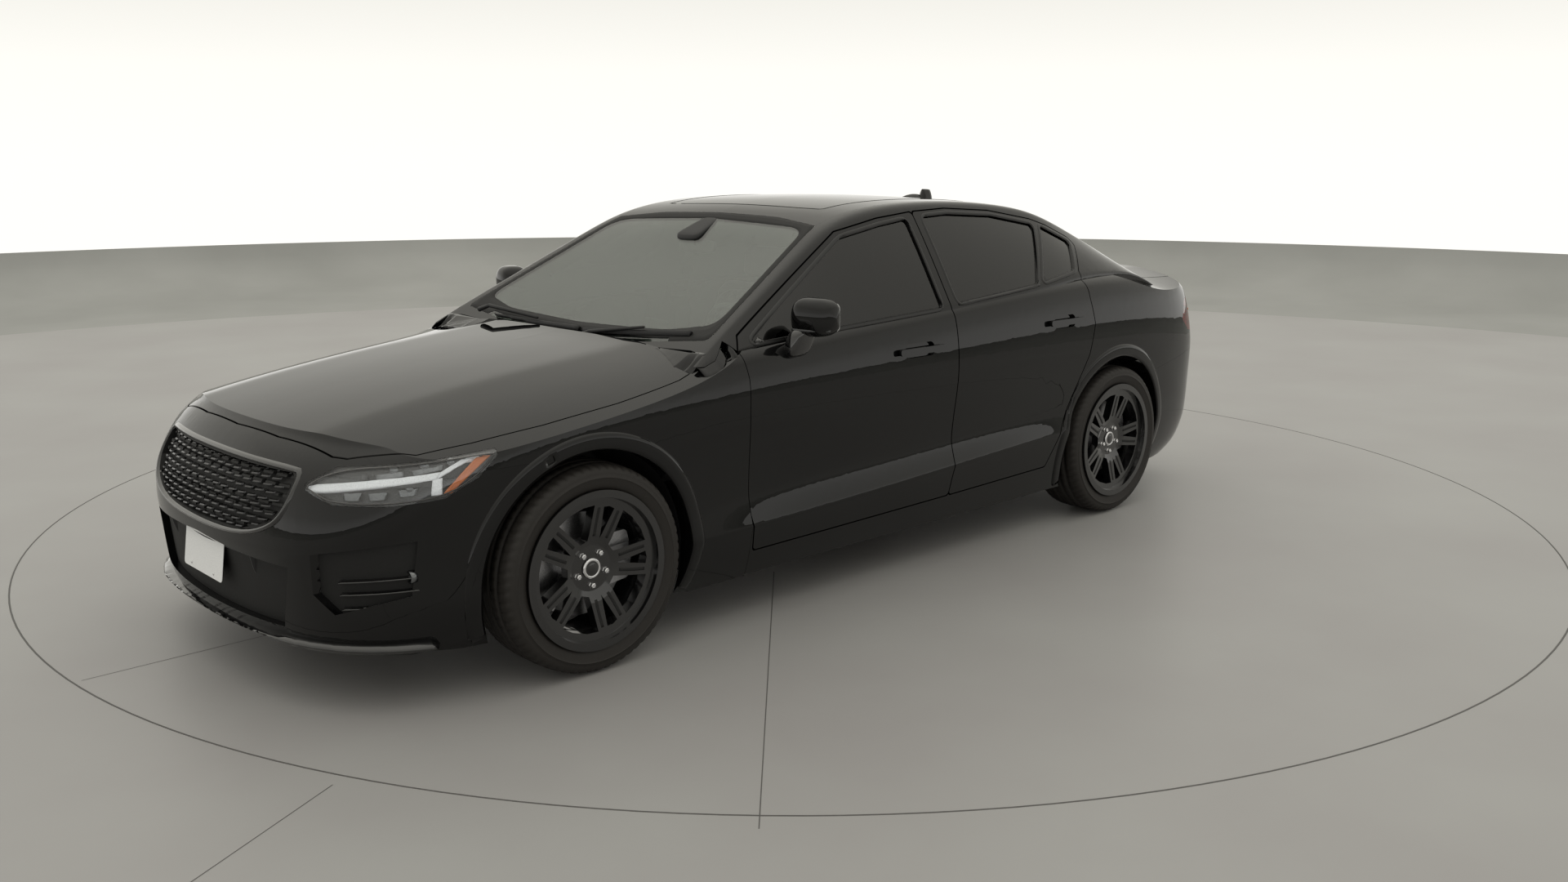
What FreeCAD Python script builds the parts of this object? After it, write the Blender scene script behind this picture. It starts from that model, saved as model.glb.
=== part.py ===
import FreeCAD, Part
import math
import os
import re
import Sketcher
from FreeCAD import Vector as V

# Mid-size four-door saloon, left-hand drive, standing on its wheels.
# X points forward, Y to the car's left, Z up. The origin is on the floor
# below the centre of the car. All sizes are in millimetres.

doc = FreeCAD.newDocument("saloon")
sheet = doc.addObject("Spreadsheet::Sheet", "Sizes")

DRIVING_SIZES = [
    ("overall_length", 4761), ("body_width", 1850), ("overall_height", 1431),
    ("wheelbase", 2872), ("front_overhang", 873), ("track", 1602),
    ("tyre_radius", 335), ("tyre_width", 236), ("rim_radius", 241),
    ("rim_width", 214), ("flange_height", 15), ("flange_thickness", 9),
    ("rim_wall", 9), ("spoke_count", 5), ("spoke_depth", 46),
    ("hub_radius", 74), ("hub_offset", 40), ("hub_thickness", 16),
    ("centre_bore_radius", 32), ("disc_radius", 168), ("disc_thickness", 26),
    ("spindle_radius", 31.7), ("arch_radius", 382), ("liner_thickness", 12),
    ("panel_gap", 5.2), ("seat_gap", 0.3), ("fixed_seam", 0.4),
    ("door_thickness", 96), ("frame_thickness", 44), ("side_thickness", 160),
    ("pillar_thickness", 88), ("fender_thickness", 60),
    ("hood_thickness", 26), ("roof_thickness", 38), ("bumper_thickness", 46),
    ("glass_thickness", 6), ("glass_depth", 9), ("lamp_depth", 130),
    ("floor_thickness", 36), ("floor_height", 165), ("floor_half_width", 700),
    ("sill_height", 130), ("sill_depth", 118),
    ("kingpin_offset", 720), ("steer_clearance", 515),
    ("hinge_plate_thickness", 9), ("hinge_plate_length", 60),
    ("hinge_slot_clearance", 6), ("edge_flange", 12), ("edge_relief", 14),
    ("handle_height", 24), ("handle_stand", 10), ("handle_thickness", 10),
    ("handle_foot", 46), ("handle_dish", 14), ("lens_thickness", 5),
    ("lamp_back_depth", 26), ("lamp_back_thickness", 18), ("lamp_bar_depth", 8),
    ("grille_bar_height", 7), ("grille_bar_reach", 13), ("overrun", 2000),
    ("engine_length", 620), ("engine_width", 800), ("engine_height", 520),
    ("engine_base", 240), ("steering_wheel_radius", 185),
    ("steering_rim_radius", 15), ("exhaust_radius", 30),
    ("seat_width", 510), ("seat_offset", 370), ("bench_width", 1120),
    ("mirror_reach", 95),
    ("jack_pad_length", 90), ("jack_pad_width", 50), ("jack_pad_height", 14),
    ("jack_pad_offset", 735),
]
for line, (name, number) in enumerate(DRIVING_SIZES, start=1):
    sheet.set("A%d" % line, name)
    sheet.set("B%d" % line, str(number))
    sheet.setAlias("B%d" % line, name)
doc.recompute()


def size(name):
    return float(sheet.get(name))


half_length = size("overall_length") / 2
half_width = size("body_width") / 2
top_height = size("overall_height")
front_axle_x = half_length - size("front_overhang")
rear_axle_x = front_axle_x - size("wheelbase")
wheel_y = size("track") / 2
gap = size("panel_gap")
seam = size("fixed_seam")
seat_gap = size("seat_gap")
overrun = size("overrun")


# Outline and solid helpers

def xyz(x_share, y_share, z_share):
    return V(x_share * half_length, y_share * half_width, z_share * top_height)


def moved(shape, x=0.0, y=0.0, z=0.0):
    copy = shape.copy()
    copy.translate(V(x, y, z))
    return copy


def mirrored(shape):
    return shape.mirror(V(0, 0, 0), V(0, 1, 0))


def whole(left_half):
    return left_half.fuse(mirrored(left_half)).removeSplitter()


def block(x0, x1, y0, y1, z0, z1):
    return Part.makeBox(x1 - x0, y1 - y0, z1 - z0, V(x0, y0, z0))


def across(radius, x, z, y0, y1):
    return Part.makeCylinder(radius, y1 - y0, V(x, y0, z), V(0, 1, 0))


def grown(points, distance):
    """Outline with each side moved outward by a distance (inward if negative)."""
    turn = sum(a[0] * b[1] - b[0] * a[1] for a, b in zip(points, points[1:] + points[:1]))
    side = 1.0 if turn > 0 else -1.0
    result = []
    for before, here, after in zip(points[-1:] + points[:-1], points, points[1:] + points[:1]):
        first = V(here[0] - before[0], here[1] - before[1], 0).normalize()
        second = V(after[0] - here[0], after[1] - here[1], 0).normalize()
        bisector = V(first.y + second.y, -first.x - second.x, 0) * side
        reach = distance * 2 / bisector.dot(bisector)
        result.append((here[0] + bisector.x * reach, here[1] + bisector.y * reach))
    return result


def rounded_wire(points, radius, lift):
    """Closed outline with tangent arcs at its corners; lift places a 2-D point."""
    if not radius:
        corners = [lift(V(a, b, 0)) for a, b in points]
        return Part.makePolygon(corners + corners[:1])
    edges = []
    stops = []
    for before, here, after in zip(points[-1:] + points[:-1], points, points[1:] + points[:1]):
        back = V(before[0] - here[0], before[1] - here[1], 0)
        ahead = V(after[0] - here[0], after[1] - here[1], 0)
        corner = V(here[0], here[1], 0)
        half_angle = back.getAngle(ahead) / 2
        cut = radius / max(math.tan(half_angle), 1e-6)
        cut = min(cut, back.Length * 0.45, ahead.Length * 0.45)
        bend = cut * math.tan(half_angle)
        start = corner + back.normalize() * cut
        end = corner + ahead.normalize() * cut
        middle = (back + ahead)
        if middle.Length < 1e-3 or bend < 1e-3:
            stops.append((corner, corner, corner))
            continue
        centre = corner + middle.normalize() * (bend / math.sin(half_angle))
        top = centre + (corner - centre).normalize() * bend
        stops.append((start, top, end))
    for (start, top, end), following in zip(stops, stops[1:] + stops[:1]):
        if (end - start).Length > 1e-4:
            edges.append(Part.Arc(lift(start), lift(top), lift(end)).toShape())
        if (following[0] - end).Length > 1e-4:
            edges.append(Part.makeLine(lift(end), lift(following[0])))
    return Part.Wire(edges)


def side_prism(points, y0, y1, radius=0.0):
    """Solid between two planes of constant Y over an outline in X and Z."""
    wire = rounded_wire(points, radius, lambda p: V(p.x, y0, p.y))
    return Part.Face(wire).extrude(V(0, y1 - y0, 0))


def plan_prism(points, z0, z1, radius=0.0):
    """Solid between two planes of constant Z over an outline in X and Y."""
    wire = rounded_wire(points, radius, lambda p: V(p.x, p.y, z0))
    return Part.Face(wire).extrude(V(0, 0, z1 - z0))


def front_prism(points, x0, x1, radius=0.0):
    """Solid between two planes of constant X over an outline in Y and Z."""
    wire = rounded_wire(points, radius, lambda p: V(x0, p.x, p.y))
    return Part.Face(wire).extrude(V(x1 - x0, 0, 0))


def places(shares, first=None, second=None):
    """Outline points from shares of two named lengths."""
    first = half_length if first is None else first
    second = top_height if second is None else second
    return [(a * first, b * second) for a, b in shares]


# Master surfaces

def freeform(rows):
    surface = Part.BSplineSurface()

    def knots(count):
        inner = count - 3
        return [float(i) for i in range(inner + 1)], [4] + [1] * (inner - 1) + [4]

    u_knots, u_mults = knots(len(rows))
    v_knots, v_mults = knots(len(rows[0]))
    surface.buildFromPolesMultsKnots(rows, u_mults, v_mults, u_knots, v_knots, False, False, 3, 3)
    return surface


def sewn(faces):
    shell = Part.makeShell(faces)
    shell.sewShape()
    solid = Part.makeSolid(shell)
    if solid.Volume < 0:
        solid.reverse()
    return solid


# Body side: plan curve of the widest line, from the nose to the tail.
# Each row: X, Y, height of the widest line, height of the shoulder, height of
# the low crease, how far that crease is formed, and how much of the nose's and
# the tail's profile the place takes.
PLAN_shares = [
    (1.000, 0.000, 0.335, 0.540, 0.190, 0.00, 1.00, 0.00),
    (1.000, 0.200, 0.335, 0.540, 0.190, 0.00, 1.00, 0.00),
    (0.990, 0.440, 0.338, 0.538, 0.191, 0.00, 1.00, 0.00),
    (0.966, 0.650, 0.350, 0.533, 0.196, 0.00, 0.95, 0.00),
    (0.914, 0.840, 0.400, 0.530, 0.214, 0.00, 0.75, 0.00),
    (0.830, 0.950, 0.480, 0.552, 0.228, 0.00, 0.25, 0.00),
    (0.700, 0.985, 0.525, 0.598, 0.234, 0.00, 0.00, 0.00),
    (0.520, 0.993, 0.548, 0.640, 0.238, 0.20, 0.00, 0.00),
    (0.330, 0.998, 0.552, 0.674, 0.249, 1.00, 0.00, 0.00),
    (0.100, 1.000, 0.552, 0.698, 0.264, 1.00, 0.00, 0.00),
    (-0.120, 1.000, 0.552, 0.719, 0.281, 1.00, 0.00, 0.00),
    (-0.340, 1.000, 0.553, 0.742, 0.297, 0.75, 0.00, 0.00),
    (-0.560, 0.996, 0.556, 0.747, 0.300, 0.10, 0.00, 0.00),
    (-0.730, 0.978, 0.556, 0.728, 0.285, 0.00, 0.00, 0.05),
    (-0.870, 0.930, 0.530, 0.700, 0.261, 0.00, 0.00, 0.35),
    (-0.955, 0.810, 0.470, 0.692, 0.239, 0.00, 0.00, 0.80),
    (-0.990, 0.560, 0.420, 0.702, 0.221, 0.00, 0.00, 1.00),
    (-1.000, 0.260, 0.400, 0.708, 0.214, 0.00, 0.00, 1.00),
    (-1.000, 0.000, 0.400, 0.708, 0.214, 0.00, 0.00, 1.00),
]
# Upright profile below the widest line: height share, then the inset of the
# plain side, of the creased side, of the nose and of the tail as shares of
# the half width.
CREASE_share = 0.36
LOWER_shares = [
    (0.000, 0.0850, 0.0850, 0.1100, 0.1600), (0.070, 0.0640, 0.0640, 0.0400, 0.0850),
    (0.180, 0.0420, 0.0420, 0.0260, 0.0450), (0.300, 0.0220, 0.0200, 0.0210, 0.0240),
    (0.345, 0.0170, 0.0095, 0.0195, 0.0195), (0.360, 0.0160, 0.0070, 0.0190, 0.0180),
    (0.375, 0.0150, 0.0105, 0.0185, 0.0165), (0.490, 0.0120, 0.0330, 0.0148, 0.0090),
    (0.540, 0.0110, 0.0350, 0.0133, 0.0080), (0.700, 0.0080, 0.0240, 0.0088, 0.0040),
    (0.860, 0.0030, 0.0060, 0.0020, 0.0010), (1.000, 0.0000, 0.0000, 0.0000, 0.0000),
]
# Upright profile above the widest line, up to the shoulder and over it.
UPPER_shares = [
    (0.40, 0.006, 0.006, 0.024, 0.030), (0.75, 0.022, 0.022, 0.085, 0.062),
    (1.00, 0.045, 0.045, 0.165, 0.100),
]
OVER_shares = (0.018, 0.125, 0.125, 0.225, 0.180)
CROWN_shares = (0.800, 0.300, 0.300, 0.320, 0.300)
bottom_z = size("floor_height") - size("floor_thickness") / 4


def body_side_net():
    """Rows of poles from the sill to the crown, columns from nose to tail."""
    outline = [V(x * half_length, y * half_width, 0) for x, y, *rest in PLAN_shares]
    rows = []
    levels = [("low", s) for s in LOWER_shares] + [("high", s) for s in UPPER_shares]
    levels += [("over", OVER_shares), ("crown", CROWN_shares)]
    for kind, (height, plain, creased, nose, tail) in levels:
        row = []
        for i, station in enumerate(PLAN_shares):
            x, y, wide, shoulder, crease, amount, nose_part, tail_part = station
            before = outline[max(i - 1, 0)]
            after = outline[min(i + 1, len(outline) - 1)]
            along = (after - before).normalize()
            inward = V(-along.y, along.x, 0)
            if i == 0 or i == len(outline) - 1:
                inward = V(-1 if i == 0 else 1, 0, 0)
            side_part = 1 - nose_part - tail_part
            side = plain * (1 - amount) + creased * amount
            inset = (side * side_part + nose * nose_part + tail * tail_part) * half_width
            wide_z = wide * top_height
            crease_z = crease * top_height
            shoulder_z = shoulder * top_height
            below = bottom_z + height / CREASE_share * (crease_z - bottom_z)
            above = crease_z + (height - CREASE_share) / (1 - CREASE_share) * (wide_z - crease_z)
            z = {"low": below if height < CREASE_share else above,
                 "high": wide_z + height * (shoulder_z - wide_z),
                 "over": shoulder_z + height * top_height,
                 "crown": height * top_height}[kind]
            place = outline[i] + inward * inset
            row.append(V(place.x, max(place.y, 0) if y > 0 else 0, z))
        row[1].x = row[0].x
        row[-2].x = row[-1].x
        rows.append(row)
    return rows


def body_side_block():
    surface = freeform(body_side_net())
    u0, u1, v0, v1 = surface.bounds()
    low = surface.uIso(u0)
    high = surface.uIso(u1)
    nose = surface.vIso(v0)
    tail = surface.vIso(v1)

    def ends(curve):
        return curve.value(curve.FirstParameter), curve.value(curve.LastParameter)

    faces = [surface.toShape()]
    for curve in (low, high):
        start, end = ends(curve)
        faces.append(Part.Face(Part.Wire([curve.toShape(), Part.makeLine(end, start)])))
    nose_low, nose_high = ends(nose)
    tail_low, tail_high = ends(tail)
    centre = Part.Wire([nose.toShape(), Part.makeLine(nose_high, tail_high),
                        tail.toShape(), Part.makeLine(tail_low, nose_low)])
    faces.append(Part.Face(centre))
    return sewn(faces)


# Hood and deck: height on the centre line along the car, and the fall from
# the centre line across the car.
DECK_shares = [
    (1.060, 0.470, 1.00), (0.985, 0.528, 1.00), (0.920, 0.556, 1.00),
    (0.800, 0.596, 1.00), (0.660, 0.630, 0.95), (0.520, 0.655, 0.85),
    (0.430, 0.669, 0.62), (0.370, 0.690, 0.40), (0.270, 0.760, 0.40),
    (0.100, 0.790, 0.40), (-0.200, 0.800, 0.40), (-0.520, 0.805, 0.40),
    (-0.640, 0.768, 0.60), (-0.730, 0.744, 0.80), (-0.850, 0.737, 0.90),
    (-0.930, 0.737, 0.90), (-0.965, 0.742, 0.90), (-1.060, 0.730, 0.90),
]
FALL_shares = [
    (0.00, 0.000), (0.16, 0.000), (0.34, 0.003), (0.45, 0.005), (0.50, 0.007),
    (0.57, 0.014), (0.68, 0.026), (0.80, 0.044), (0.92, 0.067), (1.10, 0.110),
]


def under_deck():
    rows = []
    for x, height, amount in DECK_shares:
        rows.append([xyz(x, y, height - fall * amount) for y, fall in FALL_shares])
    return freeform(rows).toShape().extrude(V(0, 0, -overrun))


# Greenhouse: stations along the car with the height of the centre line, the
# corner of roof and side, and the foot of the side glass.
GREENHOUSE_shares = [
    (0.445, 0.632, 0.915, 0.636, 0.930, 0.630),
    (0.400, 0.672, 0.880, 0.683, 0.932, 0.664),
    (0.330, 0.734, 0.842, 0.745, 0.934, 0.680),
    (0.250, 0.804, 0.797, 0.816, 0.938, 0.687),
    (0.165, 0.884, 0.748, 0.891, 0.941, 0.694),
    (0.095, 0.962, 0.715, 0.948, 0.944, 0.701),
    (0.000, 0.995, 0.699, 0.980, 0.946, 0.709),
    (-0.125, 1.001, 0.692, 0.990, 0.946, 0.720),
    (-0.240, 0.998, 0.690, 0.986, 0.943, 0.734),
    (-0.350, 0.986, 0.690, 0.972, 0.936, 0.748),
    (-0.435, 0.966, 0.694, 0.950, 0.925, 0.762),
    (-0.510, 0.914, 0.704, 0.906, 0.908, 0.766),
    (-0.600, 0.852, 0.722, 0.842, 0.888, 0.762),
    (-0.700, 0.782, 0.740, 0.768, 0.866, 0.744),
    (-0.800, 0.690, 0.756, 0.680, 0.846, 0.672),
    (-0.860, 0.640, 0.764, 0.634, 0.836, 0.628),
]
GLASS_FOOT_shares = (0.062, 0.618)
ROOF_CORNER_shares = (0.10, 0.050, 0.080)


def greenhouse_block():
    base_z = GLASS_FOOT_shares[1] * top_height
    rows = []
    for x, centre, corner_y, corner_z, foot_y, foot_z in GREENHOUSE_shares:
        corner = xyz(x, corner_y, corner_z)
        foot = xyz(x, foot_y, foot_z)
        rise = corner - foot
        tip = ROOF_CORNER_shares[2]
        row = [V(foot.x, foot.y - GLASS_FOOT_shares[0] * half_width, base_z)]
        row.append(foot - rise * ROOF_CORNER_shares[0])
        row.append(foot)
        for share in (0.36, 0.70):
            bulge = 4 * share * (1 - share) * 0.006 * half_width
            row.append(foot + rise * share + V(0, bulge, 0))
        row.append(corner - rise * tip * 1.2)
        row.append(corner)
        top = xyz(x, 0, centre)
        for share in (0.90, 0.68, 0.40, 0.15):
            y = corner.y * share
            fall = (top.z - corner.z) * share ** 2
            row.append(V(corner.x, y, top.z - fall))
        row.append(top)
        rows.append(row)
    surface = freeform(rows)
    u0, u1, v0, v1 = surface.bounds()
    faces = [surface.toShape()]
    foot_line = surface.vIso(v0)
    centre_line = surface.vIso(v1)
    floor_points = []
    for u in (u0, u1):
        section = surface.uIso(u)
        low = section.value(section.FirstParameter)
        high = section.value(section.LastParameter)
        below = V(high.x, 0, low.z)
        floor_points.append((low, below, high))
        wire = Part.Wire([section.toShape(), Part.makeLine(high, below), Part.makeLine(below, low)])
        faces.append(Part.Face(wire))
    (low0, below0, high0), (low1, below1, high1) = floor_points
    faces.append(Part.Face(Part.Wire([
        foot_line.toShape(), Part.makeLine(low1, below1),
        Part.makeLine(below1, below0), Part.makeLine(below0, low0)])))
    faces.append(Part.Face(Part.Wire([
        centre_line.toShape(), Part.makeLine(high1, below1),
        Part.makeLine(below1, below0), Part.makeLine(below0, high0)])))
    return sewn(faces)


left_side = body_side_block()
lower_left = left_side.common(under_deck())
cabin_left = greenhouse_block()
outer_left = lower_left.fuse(cabin_left)


# Panel outlines, as shares of the half length and the height (side views)

FRONT_DOOR_shares = [
    (0.352, 0.180), (0.363, 0.274), (0.368, 0.535), (0.367, 0.601), (0.3715, 0.667),
    (0.359, 0.6995), (0.102, 0.922), (0.000, 0.951), (-0.0897, 0.965), (-0.0897, 0.190),
]
REAR_DOOR_shares = [
    (-0.0897, 0.190), (-0.0897, 0.965), (-0.176, 0.970), (-0.294, 0.959), (-0.409, 0.929),
    (-0.454, 0.908), (-0.510, 0.869), (-0.5175, 0.847), (-0.4695, 0.7715), (-0.472, 0.694),
    (-0.483, 0.616), (-0.467, 0.5255), (-0.3945, 0.3165), (-0.362, 0.199),
]
FRONT_WINDOW_shares = [
    (0.346, 0.681), (0.094, 0.9055), (0.000, 0.9315), (-0.069, 0.945), (-0.069, 0.7155),
]
REAR_WINDOW_shares = [
    (-0.110, 0.7225), (-0.110, 0.949), (-0.176, 0.954), (-0.294, 0.9435),
    (-0.409, 0.912), (-0.332, 0.7505),
]
QUARTER_WINDOW_shares = [
    (-0.430, 0.9065), (-0.502, 0.8555), (-0.4575, 0.778), (-0.351, 0.754),
]
FRONT_APERTURE_shares = [
    (0.333, 0.240), (0.345, 0.300), (0.347, 0.640), (0.330, 0.684), (0.092, 0.893),
    (0.000, 0.920), (-0.069, 0.933), (-0.069, 0.240),
]
REAR_APERTURE_shares = [
    (-0.110, 0.240), (-0.110, 0.938), (-0.176, 0.942), (-0.294, 0.931), (-0.405, 0.900),
    (-0.485, 0.850), (-0.438, 0.760), (-0.438, 0.590), (-0.372, 0.330), (-0.345, 0.240),
]
FENDER_shares = [
    (0.3545, 0.110), (0.363, 0.274), (0.368, 0.535), (0.367, 0.601), (0.3715, 0.667),
    (0.384, 0.690), (0.384, 0.850), (0.890, 0.850), (0.890, 0.4945), (0.640, 0.4945),
    (0.640, 0.110),
]
FRONT_BUMPER_shares = [
    (0.640, 0.080), (0.640, 0.4945), (0.890, 0.4945), (0.890, 0.620), (1.100, 0.620),
    (1.100, 0.080),
]
REAR_BUMPER_shares = [
    (-0.600, 0.080), (-0.600, 0.400), (-0.735, 0.440), (-0.860, 0.468), (-1.100, 0.490),
    (-1.100, 0.080),
]
BODY_SIDE_shares = [
    (0.3545, 0.115), (0.363, 0.274), (0.368, 0.535), (0.367, 0.601), (0.3715, 0.667),
    (0.384, 0.690), (0.420, 0.640), (0.445, 0.640), (0.445, 1.200), (-1.100, 1.200),
    (-1.100, 0.490), (-0.860, 0.468), (-0.735, 0.440), (-0.600, 0.400), (-0.600, 0.115),
]
BELT_shares = [(0.500, 0.665), (-0.500, 0.786), (-0.900, 0.786), (-0.900, 1.300), (0.500, 1.300)]

# Plan outlines of the left half, as shares of the half length and half width

HOOD_shares = [
    (0.9350, -0.010), (0.9300, 0.300), (0.9140, 0.600), (0.9050, 0.655), (0.8500, 0.828),
    (0.7840, 0.868), (0.6890, 0.902), (0.5760, 0.918), (0.4700, 0.912), (0.4200, 0.885),
    (0.4140, 0.800), (0.4180, 0.430), (0.4210, -0.010),
]
WINDSHIELD_shares = [
    (0.4110, -0.010), (0.4050, 0.540), (0.3920, 0.826), (0.3770, 0.826), (0.1080, 0.650),
    (0.0900, 0.380), (0.0860, -0.010),
]
ROOF_shares = [
    (0.0860, -0.010), (0.0900, 0.380), (0.1080, 0.650), (-0.4220, 0.650),
    (-0.4350, 0.430), (-0.4390, -0.010),
]
ROOF_GLASS_shares = [
    (0.0400, -0.010), (0.0400, 0.500), (-0.3300, 0.500), (-0.3300, -0.010),
]
REAR_WINDOW_PLAN_shares = [
    (-0.4390, -0.010), (-0.4350, 0.430), (-0.4220, 0.650), (-0.7080, 0.680),
    (-0.7330, 0.430), (-0.7400, -0.010),
]
BOOT_LID_shares = [
    (-0.7470, -0.010), (-0.7420, 0.430), (-0.7280, 0.712), (-0.9000, 0.722),
    (-1.1000, 0.722), (-1.1000, -0.010),
]
# Lamp outlines seen along the diagonal of their corner, in shares of the
# half length and the height
HEADLAMP_shares = [
    (0.5187, 0.463), (0.4705, 0.504), (0.3780, 0.518), (0.2855, 0.534), (0.2790, 0.525),
    (0.3000, 0.482), (0.3360, 0.447), (0.3990, 0.4375), (0.4705, 0.436), (0.4915, 0.447),
]
TAIL_LAMP_shares = [
    (0.3300, 0.580), (0.3550, 0.640), (0.4200, 0.655), (0.5400, 0.640), (0.5400, 0.530),
    (0.4200, 0.520), (0.3600, 0.540),
]
GRILLE_shares = [
    (-0.010, 0.495), (0.510, 0.495), (0.543, 0.482), (0.543, 0.420), (0.495, 0.378),
    (0.330, 0.347), (-0.010, 0.340),
]
GRILLE_FACE_shares = [
    (-0.010, 0.484), (0.500, 0.484), (0.524, 0.475), (0.524, 0.423), (0.482, 0.387),
    (0.325, 0.358), (-0.010, 0.351),
]
INTAKE_shares = [
    (-0.010, 0.315), (0.560, 0.300), (0.500, 0.165), (-0.010, 0.160),
]
SIDE_VENT_shares = [
    (0.650, 0.335), (0.890, 0.365), (0.870, 0.250), (0.700, 0.210), (0.640, 0.250),
]


def side(shares, growth=0.0, radius=0.0, y0=0.0, y1=None):
    outline = grown(places(shares), growth) if growth else places(shares)
    return side_prism(outline, y0, half_width * 1.3 if y1 is None else y1, radius)


def plan(shares, growth=0.0, radius=0.0):
    outline = places(shares, half_length, half_width)
    if growth:
        outline = [(x, y) if shares[i][1] > 0 else (x, y - growth)
                   for i, (x, y) in enumerate(grown(outline, growth))]
    return plan_prism(outline, 0, top_height * 1.2, radius)


def diagonal(shares, forward, growth=0.0):
    """Prism through a corner of the body, square to the diagonal there."""
    outline = grown(places(shares), growth) if growth else places(shares)
    turn = V(forward, -1, 0).normalize()
    outward = V(forward, 1, 0).normalize()
    start = outward * (half_length * 0.45)

    def lift(p):
        return start + turn * p.x + V(0, 0, p.y)

    wire = rounded_wire(outline, size("glass_thickness") * 2, lift)
    return Part.Face(wire).extrude(outward * half_length)


def front(shares, x0, x1, growth=0.0, radius=0.0):
    outline = places(shares, half_width, top_height)
    if growth:
        outline = [(y, z) if shares[i][0] > 0 else (y - growth, z)
                   for i, (y, z) in enumerate(grown(outline, growth))]
    return front_prism(outline, x0, x1, radius)


nodes = {}


def keep(name, shape):
    """File a finished sub-part under its own label."""
    part = doc.addObject("Part::Feature", name)
    part.Label = name
    place = shape.Placement
    part.Shape = shape
    part.Placement = place
    nodes[name] = part


def keep_pair(name, left_shape):
    keep(name + "_left", left_shape)
    keep(name + "_right", mirrored(left_shape))


front_arch = across(size("arch_radius"), front_axle_x, size("tyre_radius"),
                    half_width * 0.5, half_width * 1.3)
rear_arch = across(size("arch_radius"), rear_axle_x, size("tyre_radius"),
                   half_width * 0.5, half_width * 1.3)


# Body panels

def door_core():
    """What lies inboard of the doors."""
    low = moved(lower_left, y=-size("door_thickness"))
    high = moved(cabin_left, y=-size("frame_thickness")).common(side(BELT_shares, y0=-half_width))
    return low, high


def without(shape, *tools):
    for tool in tools:
        shape = shape.cut(tool)
    return shape


def hinge_plates(x, heights, depth_low, depth_high):
    """Flat leaves that reach from a pillar back into slots of the door."""
    half = size("hinge_plate_thickness") / 2
    length = size("hinge_plate_length")
    return [block(x - length, x + length / 2, depth_low, depth_high, z - half, z + half)
            for z in heights]


def hinge_slots(x, heights, depth_low, depth_high):
    half = size("hinge_plate_thickness") / 2 + seat_gap
    room = size("hinge_plate_length") * 2.4
    reach = size("hinge_slot_clearance")
    return [block(x - room, x + size("hinge_plate_length"), depth_low, depth_high + reach,
                  z - half, z + half) for z in heights]


FRONT_HINGE_HEIGHT_shares = (0.300, 0.500)
REAR_HINGE_HEIGHT_shares = (0.300, 0.530)
front_hinge_x = 0.3715 * half_length
rear_hinge_x = -0.0897 * half_length
front_hinge_heights = [s * top_height for s in FRONT_HINGE_HEIGHT_shares]
rear_hinge_heights = [s * top_height for s in REAR_HINGE_HEIGHT_shares]
hinge_low_y = 0.80 * half_width
hinge_high_y = 0.935 * half_width


FRONT_RELIEF_TOP_share = 0.745
REAR_RELIEF_TOP_share = 0.790
FRONT_HANDLE_shares = (0.0588, -0.0496, 0.615)
REAR_HANDLE_shares = (-0.3370, -0.4390, 0.636)


def handle(shares):
    """Grip that follows the door's skin on two feet, and the dished room behind it."""
    ahead, back, z = shares[0] * half_length, shares[1] * half_length, shares[2] * top_height
    half = size("handle_height") / 2
    stand, proud = size("handle_stand"), size("handle_stand") + size("handle_thickness")
    foot = size("handle_foot")
    ends = [(ahead, z - half), (ahead, z + half), (back, z + half), (back, z - half)]
    grip = moved(outer_left, y=proud).common(
        side_prism(ends, half_width * 0.5, half_width * 1.3, half * 0.8))
    grip = grip.cut(moved(outer_left, y=stand))
    for x in (ahead - foot, back):
        leg = block(x + half, x + foot - half, half_width * 0.5, half_width * 1.3,
                    z - half * 0.6, z + half * 0.6)
        leg = leg.common(moved(outer_left, y=(stand + proud) / 2)).cut(moved(outer_left, y=-stand))
        grip = grip.fuse(leg)
    dish = [(ahead - foot, z - half * 2.2), (ahead - foot, z + half * 2.2),
            (back + foot, z + half * 2.2), (back + foot, z - half * 2.2)]
    room = side_prism(dish, half_width * 0.5, half_width * 1.3, half * 2).cut(
        moved(outer_left, y=-size("handle_dish")))
    return grip, room


def door(shares, windows, hinge_x, hinge_heights, handle_shares, relief_top):
    low_core, high_core = door_core()
    shape = outer_left.common(side(shares, -gap / 2, radius=gap * 3))
    shape = without(shape, low_core, high_core)
    deep = moved(outer_left, y=-size("edge_flange")).common(
        block(-half_length, half_length, 0, half_width, 0, relief_top * top_height))
    ahead = [(x + size("edge_relief") + gap * 1.5, z) for x, z in grown(places(shares), gap)]
    shape = shape.cut(deep.cut(side_prism(ahead, 0, half_width * 1.3, gap * 3)))
    for window in windows:
        shape = shape.cut(side(window, radius=gap * 3))
    for slot in hinge_slots(hinge_x, hinge_heights, half_width * 0.5, hinge_high_y):
        shape = shape.cut(slot)
    grip, dish = handle(handle_shares)
    return shape.cut(dish).fuse(grip)


def door_glass(windows):
    depth = size("glass_depth")
    sheet_left = moved(cabin_left, y=-depth).cut(
        moved(cabin_left, y=-depth - size("glass_thickness")))
    panes = [sheet_left.common(side(window, -seat_gap, radius=gap * 3)) for window in windows]
    return Part.makeCompound([largest(pane) for pane in panes])


def largest(shape):
    return max(shape.Solids, key=lambda solid: solid.Volume)


PILLAR_FOOT_shares = (0.320, 0.385, 0.850, 0.655, 0.697)
SHOULDER_shares = (-0.550, -0.420, 0.825, 0.735, 0.790)


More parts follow.
